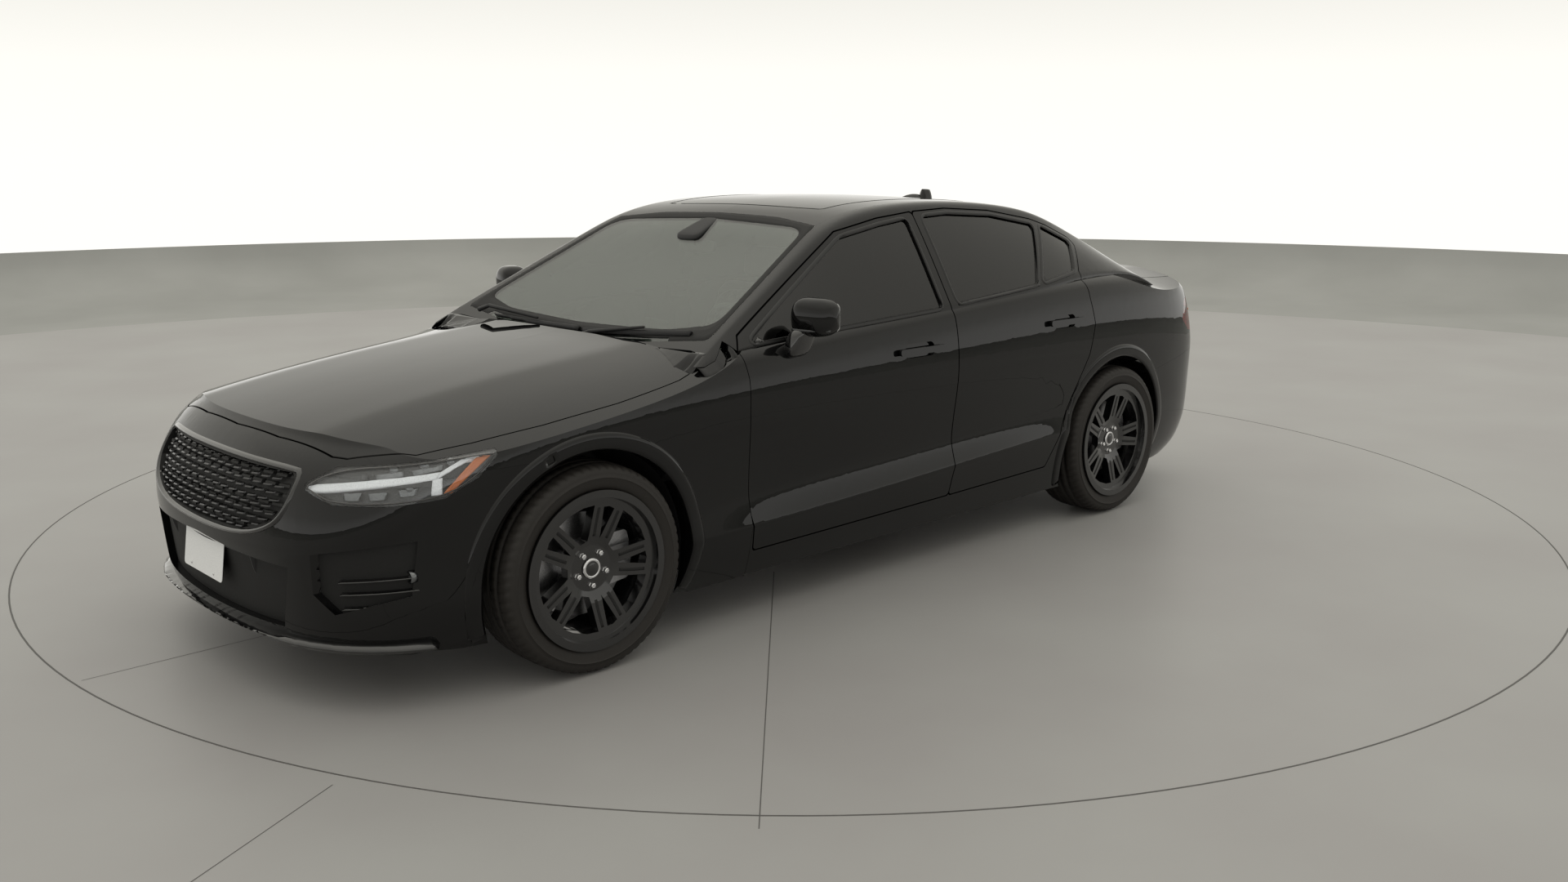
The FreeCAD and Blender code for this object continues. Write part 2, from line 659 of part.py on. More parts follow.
def swing_room(shares):
    """Room for the body's shoulder, which a door's inner edge swings past."""
    back, ahead, outboard, low, high = shares
    return block(back * half_length, ahead * half_length, 0, outboard * half_width,
                 low * top_height, high * top_height)


front_door = largest(door(FRONT_DOOR_shares, [FRONT_WINDOW_shares], front_hinge_x,
                          front_hinge_heights, FRONT_HANDLE_shares,
                          FRONT_RELIEF_TOP_share).cut(swing_room(PILLAR_FOOT_shares)))
rear_door = largest(door(REAR_DOOR_shares, [REAR_WINDOW_shares, QUARTER_WINDOW_shares],
                         rear_hinge_x, rear_hinge_heights, REAR_HANDLE_shares,
                         REAR_RELIEF_TOP_share).cut(swing_room(SHOULDER_shares)).cut(rear_arch))
keep_pair("front_door", front_door)
keep_pair("rear_door", rear_door)
keep_pair("front_door_glass", door_glass([FRONT_WINDOW_shares]))
keep_pair("rear_door_glass", door_glass([REAR_WINDOW_shares, QUARTER_WINDOW_shares]))

headlamp_room = diagonal(HEADLAMP_shares, 1)
tail_lamp_room = diagonal(TAIL_LAMP_shares, -1)
hood_room = plan(HOOD_shares, gap / 2)
lid_room = plan(BOOT_LID_shares, gap / 2)
LID_HEIGHT_share = 0.500
TAIL_SEAM_share = 0.730


def hood():
    shape = lower_left.common(plan(HOOD_shares, -gap / 2))
    shape = without(shape, moved(lower_left, z=-size("hood_thickness")),
                    moved(cabin_left, x=gap * 1.5), headlamp_room)
    arm_y = HOOD_ARM_shares[0] * half_width
    plate = size("hinge_plate_thickness")
    arm = block(HOOD_ARM_shares[1] * half_length, HOOD_ARM_shares[2] * half_length,
                arm_y, arm_y + plate, HOOD_ARM_shares[3] * top_height, top_height * 0.7)
    arm = arm.common(moved(lower_left, z=-size("hood_thickness") * 0.5))
    return whole(largest(shape.fuse(arm)))


HOOD_ARM_shares = (0.640, 0.4325, 0.465, 0.590)
LID_ARM_shares = (0.640, -0.790, -0.765, 0.625)


def boot_lid():
    room = plan(BOOT_LID_shares, -gap / 2)
    above = block(-overrun * 2, overrun, -overrun, overrun, LID_HEIGHT_share * top_height, overrun)
    shape = lower_left.common(room).common(above)
    shape = without(shape, moved(lower_left, x=size("fender_thickness") * 0.7,
                                 z=-size("roof_thickness") * 0.9), moved(cabin_left, x=-gap * 1.5))
    arm_y = LID_ARM_shares[0] * half_width
    plate = size("hinge_plate_thickness")
    arm = block(LID_ARM_shares[1] * half_length, LID_ARM_shares[2] * half_length,
                arm_y, arm_y + plate, LID_ARM_shares[3] * top_height, top_height * 0.8)
    arm = arm.common(moved(lower_left, z=-size("roof_thickness") * 0.5))
    return whole(largest(shape.fuse(arm)))


keep("hood", hood())
keep("boot_lid", boot_lid())


def fender():
    shape = lower_left.common(side(FENDER_shares, -seam, y0=half_width * 0.5))
    shape = without(shape, moved(lower_left, y=-size("fender_thickness")), hood_room,
                    headlamp_room, front_arch, moved(cabin_left, x=seam * 2))
    for slot in hinge_slots(front_hinge_x, front_hinge_heights, half_width * 0.5, hinge_high_y):
        shape = shape.cut(slot)
    return largest(shape)


left_fender = fender()
keep("front_fenders", Part.makeCompound([left_fender, mirrored(left_fender)]))


LAMP_BAR_shares = (0.4720, 0.4830)


def lamp_layer(near, far):
    """Part of the headlamp's room between two depths behind the skin."""
    layer = moved(lower_left, x=-near, y=-near).common(diagonal(HEADLAMP_shares, 1, -seam))
    return without(layer, moved(lower_left, x=-far, y=-far), hood_room)


def headlamp():
    """Clear lens, and a back with a light bar along it."""
    back_depth = size("lamp_back_depth")
    lens = largest(lamp_layer(0, size("lens_thickness")))
    back = largest(lamp_layer(back_depth, back_depth + size("lamp_back_thickness")))
    low, high = [s * top_height for s in LAMP_BAR_shares]
    bar_layer = lamp_layer(size("lamp_bar_depth"), back_depth + size("lamp_back_thickness") / 2)
    back = back.fuse(bar_layer.common(block(-overrun, overrun * 2, 0, overrun, low, high)))
    return lens, largest(back)


left_headlamp = list(headlamp())
keep("headlamps", Part.makeCompound(left_headlamp + [mirrored(s) for s in left_headlamp]))


def tail_lamp():
    deep = size("lamp_depth") * 0.6
    shape = lower_left.common(diagonal(TAIL_LAMP_shares, -1, -seam))
    shape = without(shape, moved(lower_left, x=deep, y=-deep), lid_room)
    return largest(shape)


left_tail_lamp = tail_lamp()
keep("tail_lamps", Part.makeCompound([left_tail_lamp, mirrored(left_tail_lamp)]))


def front_bumper():
    thick = size("bumper_thickness")
    region = side(FRONT_BUMPER_shares, y0=-gap)
    shape = lower_left.common(region)
    shape = without(shape, moved(lower_left, x=-thick, y=-thick), hood_room, headlamp_room,
                    front_arch, front(GRILLE_shares, half_length * 0.5, overrun * 1.5),
                    front(INTAKE_shares, half_length * 0.5, overrun * 1.5),
                    front(SIDE_VENT_shares, half_length * 0.5, overrun * 1.5))
    return whole(largest(shape))


def rear_bumper():
    thick = size("bumper_thickness")
    shape = lower_left.common(side(REAR_BUMPER_shares, y0=-gap))
    shape = without(shape, moved(lower_left, x=thick, y=-thick), rear_arch, tail_lamp_room,
                    lid_room.common(block(-overrun * 2, overrun, -overrun, overrun,
                                          LID_HEIGHT_share * top_height - gap, overrun)))
    return whole(largest(shape))


keep("front_bumper", front_bumper())
keep("rear_bumper", rear_bumper())


GRILLE_ROWS_shares = (0.3660, 0.4740)
grille_rows = 7
grille_columns = 7


def grille_strips():
    """Short level bars in staggered rows over the left half of the grille."""
    low, high = [s * top_height for s in GRILLE_ROWS_shares]
    pitch = 0.515 * half_width / grille_columns
    strips = []
    for row in range(grille_rows):
        z = low + (high - low) * row / (grille_rows - 1)
        for column in range(grille_columns + 1):
            y = pitch * (column + 0.5 * (row % 2))
            strips.append(block(half_length * 0.8, overrun * 1.5, max(y - pitch * 0.36, -1),
                                y + pitch * 0.36, z - size("grille_bar_height") / 2,
                                z + size("grille_bar_height") / 2))
    return strips


def grille():
    """Frames and set-back faces of the grille, the intake and the side vents."""
    depth = size("bumper_thickness") * 0.55
    skin = size("liner_thickness")
    behind = moved(lower_left, x=-depth)
    far = moved(lower_left, x=-depth - skin)
    pieces = []
    for shares, face in ((GRILLE_shares, GRILLE_FACE_shares), (INTAKE_shares, None),
                         (SIDE_VENT_shares, None)):
        room = front(shares, half_length * 0.8, overrun * 1.5, -seam)
        back = behind.common(room).cut(far)
        if face:
            frame = lower_left.common(room).cut(far)
            window = front(face, half_length * 0.8, overrun * 1.5)
            back = back.fuse(frame.cut(window))
            layer = moved(lower_left, x=-depth + size("grille_bar_reach")).common(window)
            layer = layer.cut(moved(lower_left, x=-depth - skin / 2))
            back = back.fuse(layer.common(grille_strips()).Solids)
        pieces.append(largest(back))
    middle = [whole(piece) for piece in pieces[:2]]
    return Part.makeCompound(middle + [pieces[2], mirrored(pieces[2])])


keep("grille", grille())


def roof():
    shape = cabin_left.common(plan(ROOF_shares, -seam))
    shape = without(shape, moved(cabin_left, z=-size("roof_thickness")),
                    plan(ROOF_GLASS_shares).common(block(-overrun, overrun, -gap, overrun,
                                                         top_height * 0.5, overrun)))
    return whole(largest(shape))


def pane(shares, thick):
    shape = cabin_left.common(plan(shares, -seam))
    shape = shape.cut(moved(cabin_left, z=-thick))
    above = block(-overrun * 2, overrun, -overrun, overrun, top_height * 0.65, overrun)
    return whole(largest(shape.common(above)))


keep("roof_panel", roof())
keep("roof_glass", pane(ROOF_GLASS_shares, size("glass_thickness")))
keep("windshield", pane(WINDSHIELD_shares, size("glass_thickness")))
keep("rear_window", pane(REAR_WINDOW_PLAN_shares, size("glass_thickness")))


def body_side():
    inner = moved(lower_left, y=-size("side_thickness"))
    inner_high = moved(cabin_left, y=-size("pillar_thickness"), z=-size("frame_thickness"))
    shape = outer_left.common(side(BODY_SIDE_shares, -seam, y0=half_width * 0.3))
    shape = without(shape, inner, inner_high)
    depth = size("sill_depth")
    floor_edge = size("floor_half_width") + seat_gap
    sill = block(SILL_shares[0] * half_length, SILL_shares[1] * half_length, floor_edge,
                 floor_edge + depth, size("floor_height"), size("floor_height") + size("sill_height"))
    shape = shape.fuse(sill.common(lower_left))
    shape = shape.cut(side(FENDER_shares, y0=half_width * 0.3).cut(cabin_left))
    low_core = moved(lower_left, y=-size("door_thickness") - gap)
    high_core = moved(cabin_left, y=-size("frame_thickness") - gap).common(
        side(BELT_shares, y0=-half_width))
    for shares in (FRONT_DOOR_shares, REAR_DOOR_shares):
        shape = shape.cut(side(shares, gap / 2, radius=gap * 3).cut(low_core).cut(high_core))
    for shares in (FRONT_APERTURE_shares, REAR_APERTURE_shares):
        shape = shape.cut(side(shares, radius=gap * 6))
    shape = without(shape, plan(WINDSHIELD_shares), plan(ROOF_shares),
                    plan(REAR_WINDOW_PLAN_shares), lid_room, tail_lamp_room, rear_arch,
                    hood_room)
    pillar = moved(lower_left, y=-size("fender_thickness") - seam * 2).common(
        side(HINGE_PILLAR_shares, y0=half_width * 0.3)).cut(inner)
    shape = shape.fuse(pillar)
    shape = shape.cut(block(-half_length, half_length, 0, floor_edge, 0,
                            size("floor_height") + size("sill_height")))
    for plate in (hinge_plates(front_hinge_x, front_hinge_heights, hinge_low_y, hinge_high_y)
                  + hinge_plates(rear_hinge_x, rear_hinge_heights, hinge_low_y, hinge_high_y)):
        shape = shape.fuse(plate.cut(block(rear_hinge_x + gap / 2, front_hinge_x - overrun / 10,
                                           0, overrun, 0, overrun)))
    for x in JACK_POINT_shares:
        pad = block(x * half_length - size("jack_pad_length") / 2,
                    x * half_length + size("jack_pad_length") / 2,
                    size("jack_pad_offset") - size("jack_pad_width") / 2,
                    size("jack_pad_offset") + size("jack_pad_width") / 2,
                    size("floor_height") - size("jack_pad_height"), size("floor_height"))
        shape = shape.fuse(pad)
    bracket_y = LID_ARM_shares[0] * half_width + size("hinge_plate_thickness") + seat_gap
    bracket = block(LID_ARM_shares[1] * half_length, LID_ARM_shares[2] * half_length, bracket_y,
                    half_width, 0.640 * top_height, 0.680 * top_height).common(lower_left)
    return largest(shape.fuse(bracket))


HINGE_PILLAR_shares = [(0.3730, 0.118), (0.4150, 0.118), (0.4150, 0.620), (0.3730, 0.665)]
SILL_shares = (-0.395, 0.400)
JACK_POINT_shares = (0.295, -0.335)

left_body_side = body_side()
keep_pair("body_side", left_body_side)


# Underbody and running gear

RAIL_shares = (0.475, 0.285, 0.335)
FLOOR_shares = (-0.430, 0.400)
FIREWALL_shares = (0.395, 0.412)
REAR_FLOOR_shares = (-0.900, 0.245, 0.270, 0.590)
TOWER_shares = (0.038, 0.690, 0.490, 0.572)
BEAM_shares = (0.925, 0.945, 0.560)
COWL_FOOT_share = 0.620
BENCH_BASE_share = 0.272
BENCH_FRONT_share = -0.262
tower_seat_z = (TOWER_shares[2] + (TOWER_shares[3] - TOWER_shares[2]) * 0.55) * top_height
strut_radius = 0.033 * top_height
strut_y = 0.605 * half_width
well_inner_rear = 0.640 * half_width
bulkhead_x = -0.610 * half_length


def floor_pan():
    """Floor, firewall, front rails, spring towers, seat step and boot floor."""
    low = size("floor_height")
    thick = size("floor_thickness")
    edge = size("floor_half_width")
    back, ahead = [s * half_length for s in FLOOR_shares]
    wall0, wall1 = [s * half_length for s in FIREWALL_shares]
    shape = block(back, wall1, -edge, edge, low, low + thick)
    tunnel = block(back, wall0, -edge * 0.17, edge * 0.17, low + thick, low + thick * 4.4)
    bore = block(back - thick, wall1 + thick, -edge * 0.12, edge * 0.12, low - thick,
                 low + thick * 3.6)
    shape = shape.fuse(tunnel)
    fire = block(wall0, wall1, -edge, edge, low, COWL_FOOT_share * top_height - seat_gap)
    shape = shape.fuse(fire)
    arm_side = HOOD_ARM_shares[0] * half_width + size("hinge_plate_thickness") + seat_gap
    lug = block(wall1, HOOD_ARM_shares[2] * half_length, arm_side,
                arm_side + size("hinge_plate_thickness"), 0.560 * top_height,
                0.605 * top_height)
    shape = shape.fuse(lug).fuse(mirrored(lug))
    rail_in = RAIL_shares[0] * half_width
    rail_out = size("steer_clearance") - size("liner_thickness") - seat_gap
    rail_low, rail_high = RAIL_shares[1] * top_height, RAIL_shares[2] * top_height
    beam0, beam1, beam_half = BEAM_shares
    tower_long, tower_out, tower_low, tower_high = TOWER_shares
    for sign in (1, -1):
        y0, y1 = sorted((sign * rail_in, sign * rail_out))
        shape = shape.fuse(block(wall0, beam0 * half_length, y0, y1, rail_low, rail_high))
        t0, t1 = sorted((sign * rail_in, sign * tower_out * half_width))
        x0 = front_axle_x - tower_long * half_length
        x1 = front_axle_x + tower_long * half_length
        post = block(x0, x1, y0, y1, rail_low, tower_high * top_height)
        head = block(x0, x1, t0, t1, tower_low * top_height, tower_high * top_height)
        strut = Part.makeCylinder(strut_radius + gap, tower_seat_z,
                                  V(front_axle_x, sign * strut_y, 0))
        shape = shape.fuse(post).fuse(head.cut(strut))
    shape = shape.fuse(block(beam0 * half_length, beam1 * half_length, -beam_half * half_width,
                             beam_half * half_width, rail_low, rail_high))
    tail, deck_low, deck_high, wall_high = REAR_FLOOR_shares
    deck = block(tail * half_length, back, -well_inner_rear, well_inner_rear,
                 deck_low * top_height, deck_high * top_height)
    step = block(back, back + thick, -well_inner_rear, well_inner_rear, low,
                 deck_high * top_height)
    bulkhead = block(bulkhead_x, bulkhead_x + thick / 2, -well_inner_rear, well_inner_rear,
                     deck_high * top_height, wall_high * top_height)
    tail_wall = block(tail * half_length - thick / 2, tail * half_length, -well_inner_rear,
                      well_inner_rear, deck_low * top_height, LID_HEIGHT_share * 0.93 * top_height)
    riser = block(back, BENCH_FRONT_share * half_length, -edge, edge, low + thick,
                  BENCH_BASE_share * top_height - seat_gap)
    for piece in (deck, step, bulkhead, tail_wall, riser):
        shape = shape.fuse(piece)
    well = across(size("arch_radius") + size("liner_thickness") + seat_gap, rear_axle_x,
                  size("tyre_radius"), well_inner_rear, half_width)
    return without(shape, bore, well, mirrored(well))


keep("floor_pan", floor_pan())


def liner(axle_x, inner_y, skin):
    """Thin arch over a wheel, out to the panel round it, with a wall inboard."""
    radius = size("arch_radius") + size("liner_thickness")
    centre = (axle_x, size("tyre_radius"))
    arch = across(radius, *centre, inner_y, half_width)
    arch = arch.common(moved(lower_left, y=-skin - seat_gap))
    hollow = across(size("arch_radius") + seam, *centre, inner_y + size("liner_thickness"),
                    half_width * 2)
    low = block(axle_x - overrun, axle_x + overrun, -overrun, overrun, -overrun,
                size("tyre_radius") * 0.85)
    return arch.cut(hollow).cut(low)


def wheel_liners():
    front_liner = liner(front_axle_x, size("steer_clearance") - size("liner_thickness"),
                        size("fender_thickness"))
    front_liner = front_liner.cut(block(front_axle_x - 0.045 * half_length,
                                        front_axle_x + 0.045 * half_length,
                                        0, TOWER_shares[1] * half_width + gap, 0, overrun))
    rear_liner = liner(rear_axle_x, well_inner_rear + seam, size("side_thickness"))
    arm = block(rear_axle_x - 0.060 * half_length, rear_axle_x + 0.060 * half_length, 0,
                well_inner_rear + size("liner_thickness") * 2, 0, 0.42 * top_height)
    rear_liner = rear_liner.cut(arm)
    pieces = front_liner.Solids + rear_liner.Solids
    pieces = [solid for solid in pieces if solid.Volume > size("liner_thickness") ** 3 * 20]
    return Part.makeCompound(pieces + [mirrored(solid) for solid in pieces])


keep("wheel_liners", wheel_liners())

hub_face_y = wheel_y + size("hub_offset")
rim_half = size("rim_width") / 2 + size("flange_thickness")


def origin_plane(body, role):
    return [item for item in body.Origin.OriginFeatures if item.Role == role][0]


def bound_sketch(body, name, role, points):
    """Closed outline whose corners follow expressions of the sheet."""
    sketch = body.newObject("Sketcher::SketchObject", name)
    sketch.AttachmentSupport = [(origin_plane(body, role), "")]
    sketch.MapMode = "FlatFace"
    corners = [V(float(sheet.evalExpression(a)), float(sheet.evalExpression(b)), 0)
               for a, b in points]
    count = len(corners)
    for here, after in zip(corners, corners[1:] + corners[:1]):
        sketch.addGeometry(Part.LineSegment(here, after), False)
    for i in range(count):
        sketch.addConstraint(Sketcher.Constraint("Coincident", i, 2, (i + 1) % count, 1))
    for i, (a, b) in enumerate(points):
        for kind, text, value in (("DistanceX", a, corners[i].x), ("DistanceY", b, corners[i].y)):
            index = sketch.addConstraint(Sketcher.Constraint(kind, -1, 1, i, 1, value))
            sketch.setExpression("Constraints[%d]" % index,
                                 re.sub(r"\b([a-z]+_[a-z_]+)\b", r"Sizes.\1", text))
    return sketch


RIM_PROFILE = [
    ("rim_radius - rim_wall", "-rim_width / 2 - flange_thickness"),
    ("rim_radius + flange_height", "-rim_width / 2 - flange_thickness"),
    ("rim_radius + flange_height", "-rim_width / 2"),
    ("rim_radius", "-rim_width / 2"),
    ("rim_radius", "-rim_width / 4"),
    ("rim_radius - rim_wall * 3", "-rim_width / 6"),
    ("rim_radius - rim_wall * 3", "rim_width / 6"),
    ("rim_radius", "rim_width / 3"),
    ("rim_radius", "rim_width / 2"),
    ("rim_radius + flange_height", "rim_width / 2"),
    ("rim_radius + flange_height", "rim_width / 2 + flange_thickness"),
    ("rim_radius - rim_wall", "rim_width / 2 + flange_thickness"),
    ("rim_radius - rim_wall * 1.5", "rim_width / 2 - spoke_depth / 4"),
    ("hub_radius * 1.5", "rim_width / 2 - spoke_depth * 0.55"),
    ("hub_radius", "hub_offset + hub_thickness * 2"),
    ("centre_bore_radius", "hub_offset + hub_thickness * 2"),
    ("centre_bore_radius", "hub_offset"),
    ("hub_radius", "hub_offset"),
    ("hub_radius * 1.5", "rim_width / 2 - spoke_depth * 1.35"),
    ("rim_radius - rim_wall * 3", "rim_width / 2 - spoke_depth * 1.1"),
    ("rim_radius - rim_wall * 4", "rim_width / 6"),
    ("rim_radius - rim_wall * 4", "-rim_width / 6"),
    ("rim_radius - rim_wall", "-rim_width / 3"),
]
# Openings between the spokes: distance from the hub and place to the side,
# in shares of the rim's radius, for one fifth of the wheel.
WIDE_OPENING_shares = [
    (0.375, 0.060), (0.800, 0.290), (0.845, 0.120), (0.845, -0.120), (0.800, -0.290),
    (0.375, -0.060),
]
NARROW_OPENING_shares = [(0.400, 0.000), (0.820, 0.085), (0.840, 0.000), (0.820, -0.085)]
SLIT_OPENING_shares = [(0.520, 0.010), (0.815, 0.060), (0.815, 0.022)]


def turned(shares, degrees):
    angle = math.radians(degrees)
    return [(a * math.cos(angle) - b * math.sin(angle), a * math.sin(angle) + b * math.cos(angle))
            for a, b in shares]


def rim(name, place):
    body = doc.addObject("PartDesign::Body", name)
    body.Label = name
    profile = bound_sketch(body, name + "_profile", "XZ_Plane", RIM_PROFILE)
    turned_rim = body.newObject("PartDesign::Revolution", name + "_barrel")
    turned_rim.Profile = profile
    turned_rim.ReferenceAxis = (profile, ["V_Axis"])
    turned_rim.Angle = 360
    doc.recompute()
    for label, shares, degrees in (("wide", WIDE_OPENING_shares, 0),
                                   ("narrow", NARROW_OPENING_shares, 36)):
        outline = [("rim_radius * %.5f" % a, "rim_radius * %.5f" % b)
                   for a, b in turned(shares, degrees)]
        sketch = bound_sketch(body, "%s_%s_opening" % (name, label), "XY_Plane", outline)
        pocket = body.newObject("PartDesign::Pocket", "%s_%s_pocket" % (name, label))
        pocket.Profile = sketch
        pocket.Type = "ThroughAll"
        pocket.Reversed = True
        pattern = body.newObject("PartDesign::PolarPattern", "%s_%s_pattern" % (name, label))
        pattern.Originals = [pocket]
        pattern.Axis = (origin_line(body, "Z_Axis"), [""])
        pattern.Angle = 360
        pattern.Occurrences = 5
        pattern.setExpression("Occurrences", "Sizes.spoke_count")
        body.Tip = pattern
        doc.recompute()
    body.Placement = place
    return body


def origin_line(body, role):
    return [item for item in body.Origin.OriginFeatures if item.Role == role][0]


def wheel_place(axle_x, sign):
    turn = FreeCAD.Rotation(V(1, 0, 0), -90 * sign)
    return FreeCAD.Placement(V(axle_x, sign * wheel_y, size("tyre_radius")), turn)


def disc():
    """Brake disc with its hat, about Z, to be set against the hub's face."""
    radius = size("disc_radius")
    thick = size("disc_thickness")
    face = size("hub_offset")
    hat = Part.makeCylinder(size("hub_radius") * 1.15, thick * 2, V(0, 0, face - thick * 2))
    ring = Part.makeCylinder(radius, thick, V(0, 0, face - thick * 2.2))
    hollow = Part.makeCylinder(size("hub_radius"), thick * 2, V(0, 0, face - thick * 2.6))
    bore = Part.makeCylinder(size("centre_bore_radius"), thick * 8, V(0, 0, face - thick * 4))
    return hat.fuse(ring).cut(hollow).cut(bore)


def tyre():
    """Tyre about Z with a flat tread, round shoulders and bulging walls."""
    out = size("tyre_radius")
    seat = size("rim_radius") + size("flange_height")
    wide = size("tyre_width") / 2
    wall = size("rim_width") / 2
    half_tread = wide * 0.86
    bead = size("rim_radius") + seam
    outer = Part.BSplineCurve()
    outer.interpolate([V(seat, 0, wall - seam), V(seat + (out - seat) * 0.40, 0, wide),
                       V(out - (out - seat) * 0.12, 0, wide * 0.955), V(out - 3 * seam, 0, half_tread)])
    side_up = outer.toShape()
    side_down = side_up.mirror(V(0, 0, 0), V(0, 0, 1))
    crown = Part.Arc(V(out - 3 * seam, 0, half_tread), V(out, 0, 0),
                     V(out - 3 * seam, 0, -half_tread)).toShape()
    low_bead = Part.makePolygon([V(seat, 0, -wall + seam), V(bead, 0, -wall + seam),
                                 V(bead, 0, wall - seam), V(seat, 0, wall - seam)])
    wire = Part.Wire(Part.sortEdges(side_up.Edges + crown.Edges + side_down.Edges
                                    + low_bead.Edges)[0])
    return Part.Face(wire).revolve(V(0, 0, 0), V(0, 0, 1), 360)


wheel_names = []
for axle_name, axle_x in (("front", front_axle_x), ("rear", rear_axle_x)):
    for side_name, sign in (("left", 1), ("right", -1)):
        wheel_names.append((axle_name + "_" + side_name, axle_x, sign))
for name, axle_x, sign in wheel_names:
    place = wheel_place(axle_x, sign)
    rim_body = rim("wheel_" + name, place)
    disc_shape = disc()
    disc_shape.Placement = place
    tyre_shape = tyre()
    tyre_shape.Placement = place
    nodes["wheel_" + name] = (rim_body, disc_shape)
    keep("tyre_" + name, tyre_shape)

knuckle_face = size("hub_offset") - seat_gap


def spindle(outer_end):
    """Stub axle that passes through the disc and the wheel's centre bore."""
    start = wheel_y - size("disc_thickness") * 1.6
    length = wheel_y + size("hub_offset") + size("hub_thickness") * outer_end - start
    return start, length


def knuckle():
    """Front upright with its stub axle and brake caliper, left side."""
    axle_z = size("tyre_radius")
    king_y = size("kingpin_offset")
    start, length = spindle(0.6)
    stub = across(size("spindle_radius"), front_axle_x, axle_z, king_y, start + length)
    plate_out = wheel_y - size("disc_thickness") * 1.4 + size("hub_offset") * 0.2 - seat_gap
    reach = size("disc_radius")
    outline = [(front_axle_x + a * reach, axle_z + b * reach) for a, b in KNUCKLE_shares]
    upright = side_prism(outline, king_y - size("hub_offset") / 2, king_y
                         + size("hub_offset") * 0.45, size("hub_offset") / 3)
    bore = Part.makeCylinder(pin_radius + seat_gap, overrun, V(front_axle_x, king_y, 0))
    hub = across(size("hub_radius") * 0.75, front_axle_x, axle_z, king_y - size("hub_offset") / 4,
                 plate_out - size("disc_thickness"))
    carrier = upright.fuse(hub)
    window = block(front_axle_x - pin_radius * 4, front_axle_x + pin_radius * 4, 0, overrun,
                   axle_z - reach * 0.45, axle_z + reach * 0.45)
    bore = bore.cut(window)
    return carrier.cut(bore).fuse(stub).fuse(caliper(front_axle_x, king_y))


KNUCKLE_shares = [
    (-0.26, -0.86), (0.26, -0.86), (0.34, -0.30), (0.34, 0.30), (0.26, 0.90), (-0.26, 0.90),
    (-0.60, 0.55), (-0.60, -0.30),
]
CALIPER_shares = [(0.50, -0.50), (1.02, -0.44), (1.12, 0.05), (1.00, 0.52), (0.50, 0.50)]
pin_radius = size("hub_thickness") * 0.75


def caliper(axle_x, inner_y):
    """Brake caliper that straddles the disc behind the axle."""
    reach = size("disc_radius")
    axle_z = size("tyre_radius")
    outline = [(axle_x - a * reach, axle_z + b * reach) for a, b in CALIPER_shares]
    disc_low = wheel_y + size("hub_offset") - size("disc_thickness") * 2.2
    disc_high = disc_low + size("disc_thickness")
    out = disc_high + size("disc_thickness") * 0.9
    shape = side_prism(outline, inner_y, out, size("hub_thickness"))
    room = across(reach + gap, axle_x, axle_z, disc_low - gap, disc_high + gap)
    hat = across(reach * 0.62, axle_x, axle_z, disc_low - gap, overrun)
    return shape.cut(room).cut(hat)


keep_pair("knuckle", knuckle())


def bar(start, end, radius):
    along = end - start
    return Part.makeCylinder(radius, along.Length, start, along)


def front_axle():
    """Subframe, lower arms, ball joints, spring struts and drive shafts."""
    axle_z = size("tyre_radius")
    king_y = size("kingpin_offset")
    half = 0.045 * half_length
    inner = RAIL_shares[0] * half_width
    low_z = axle_z - size("disc_radius") * 0.86 - seat_gap
    beam_low, beam_high = low_z - 0.030 * top_height, size("engine_base")
    shape = block(front_axle_x - half, front_axle_x + half, -inner, inner, beam_low, beam_high)
    radius = strut_radius
    for sign in (1, -1):
        pin = V(front_axle_x, sign * king_y, low_z - 0.030 * top_height)
        arm_points = [(front_axle_x - half, inner * 0.9), (front_axle_x + half, inner * 0.9),
                      (front_axle_x + pin_radius * 2, king_y + pin_radius * 2),
                      (front_axle_x - pin_radius * 2, king_y + pin_radius * 2)]
        arm = plan_prism([(x, sign * y) for x, y in arm_points], beam_low,
                         low_z, pin_radius)
        ball = Part.makeCylinder(pin_radius, 0.030 * top_height + size("disc_radius") * 0.35, pin)
        strut_low = V(front_axle_x, sign * strut_y, beam_low)
        strut_high = V(front_axle_x, sign * strut_y, TOWER_shares[2] * top_height)
        strut = bar(strut_low, V(strut_low.x, strut_low.y, tower_seat_z - seam), radius * 0.55)
        coil = bar(V(strut_low.x, strut_low.y, axle_z * 1.9), strut_high, radius * 0.95)
        shaft = bar(V(front_axle_x, sign * size("engine_width") / 2 + sign * seam, axle_z),
                    V(front_axle_x, sign * (strut_y + radius * 0.9), axle_z), pin_radius * 1.4)
        for piece in (arm, ball, strut, coil, shaft):
            shape = shape.fuse(piece)
    return shape


keep("front_axle", front_axle())


exhaust_height = size("floor_height") + size("floor_thickness") * 1.4


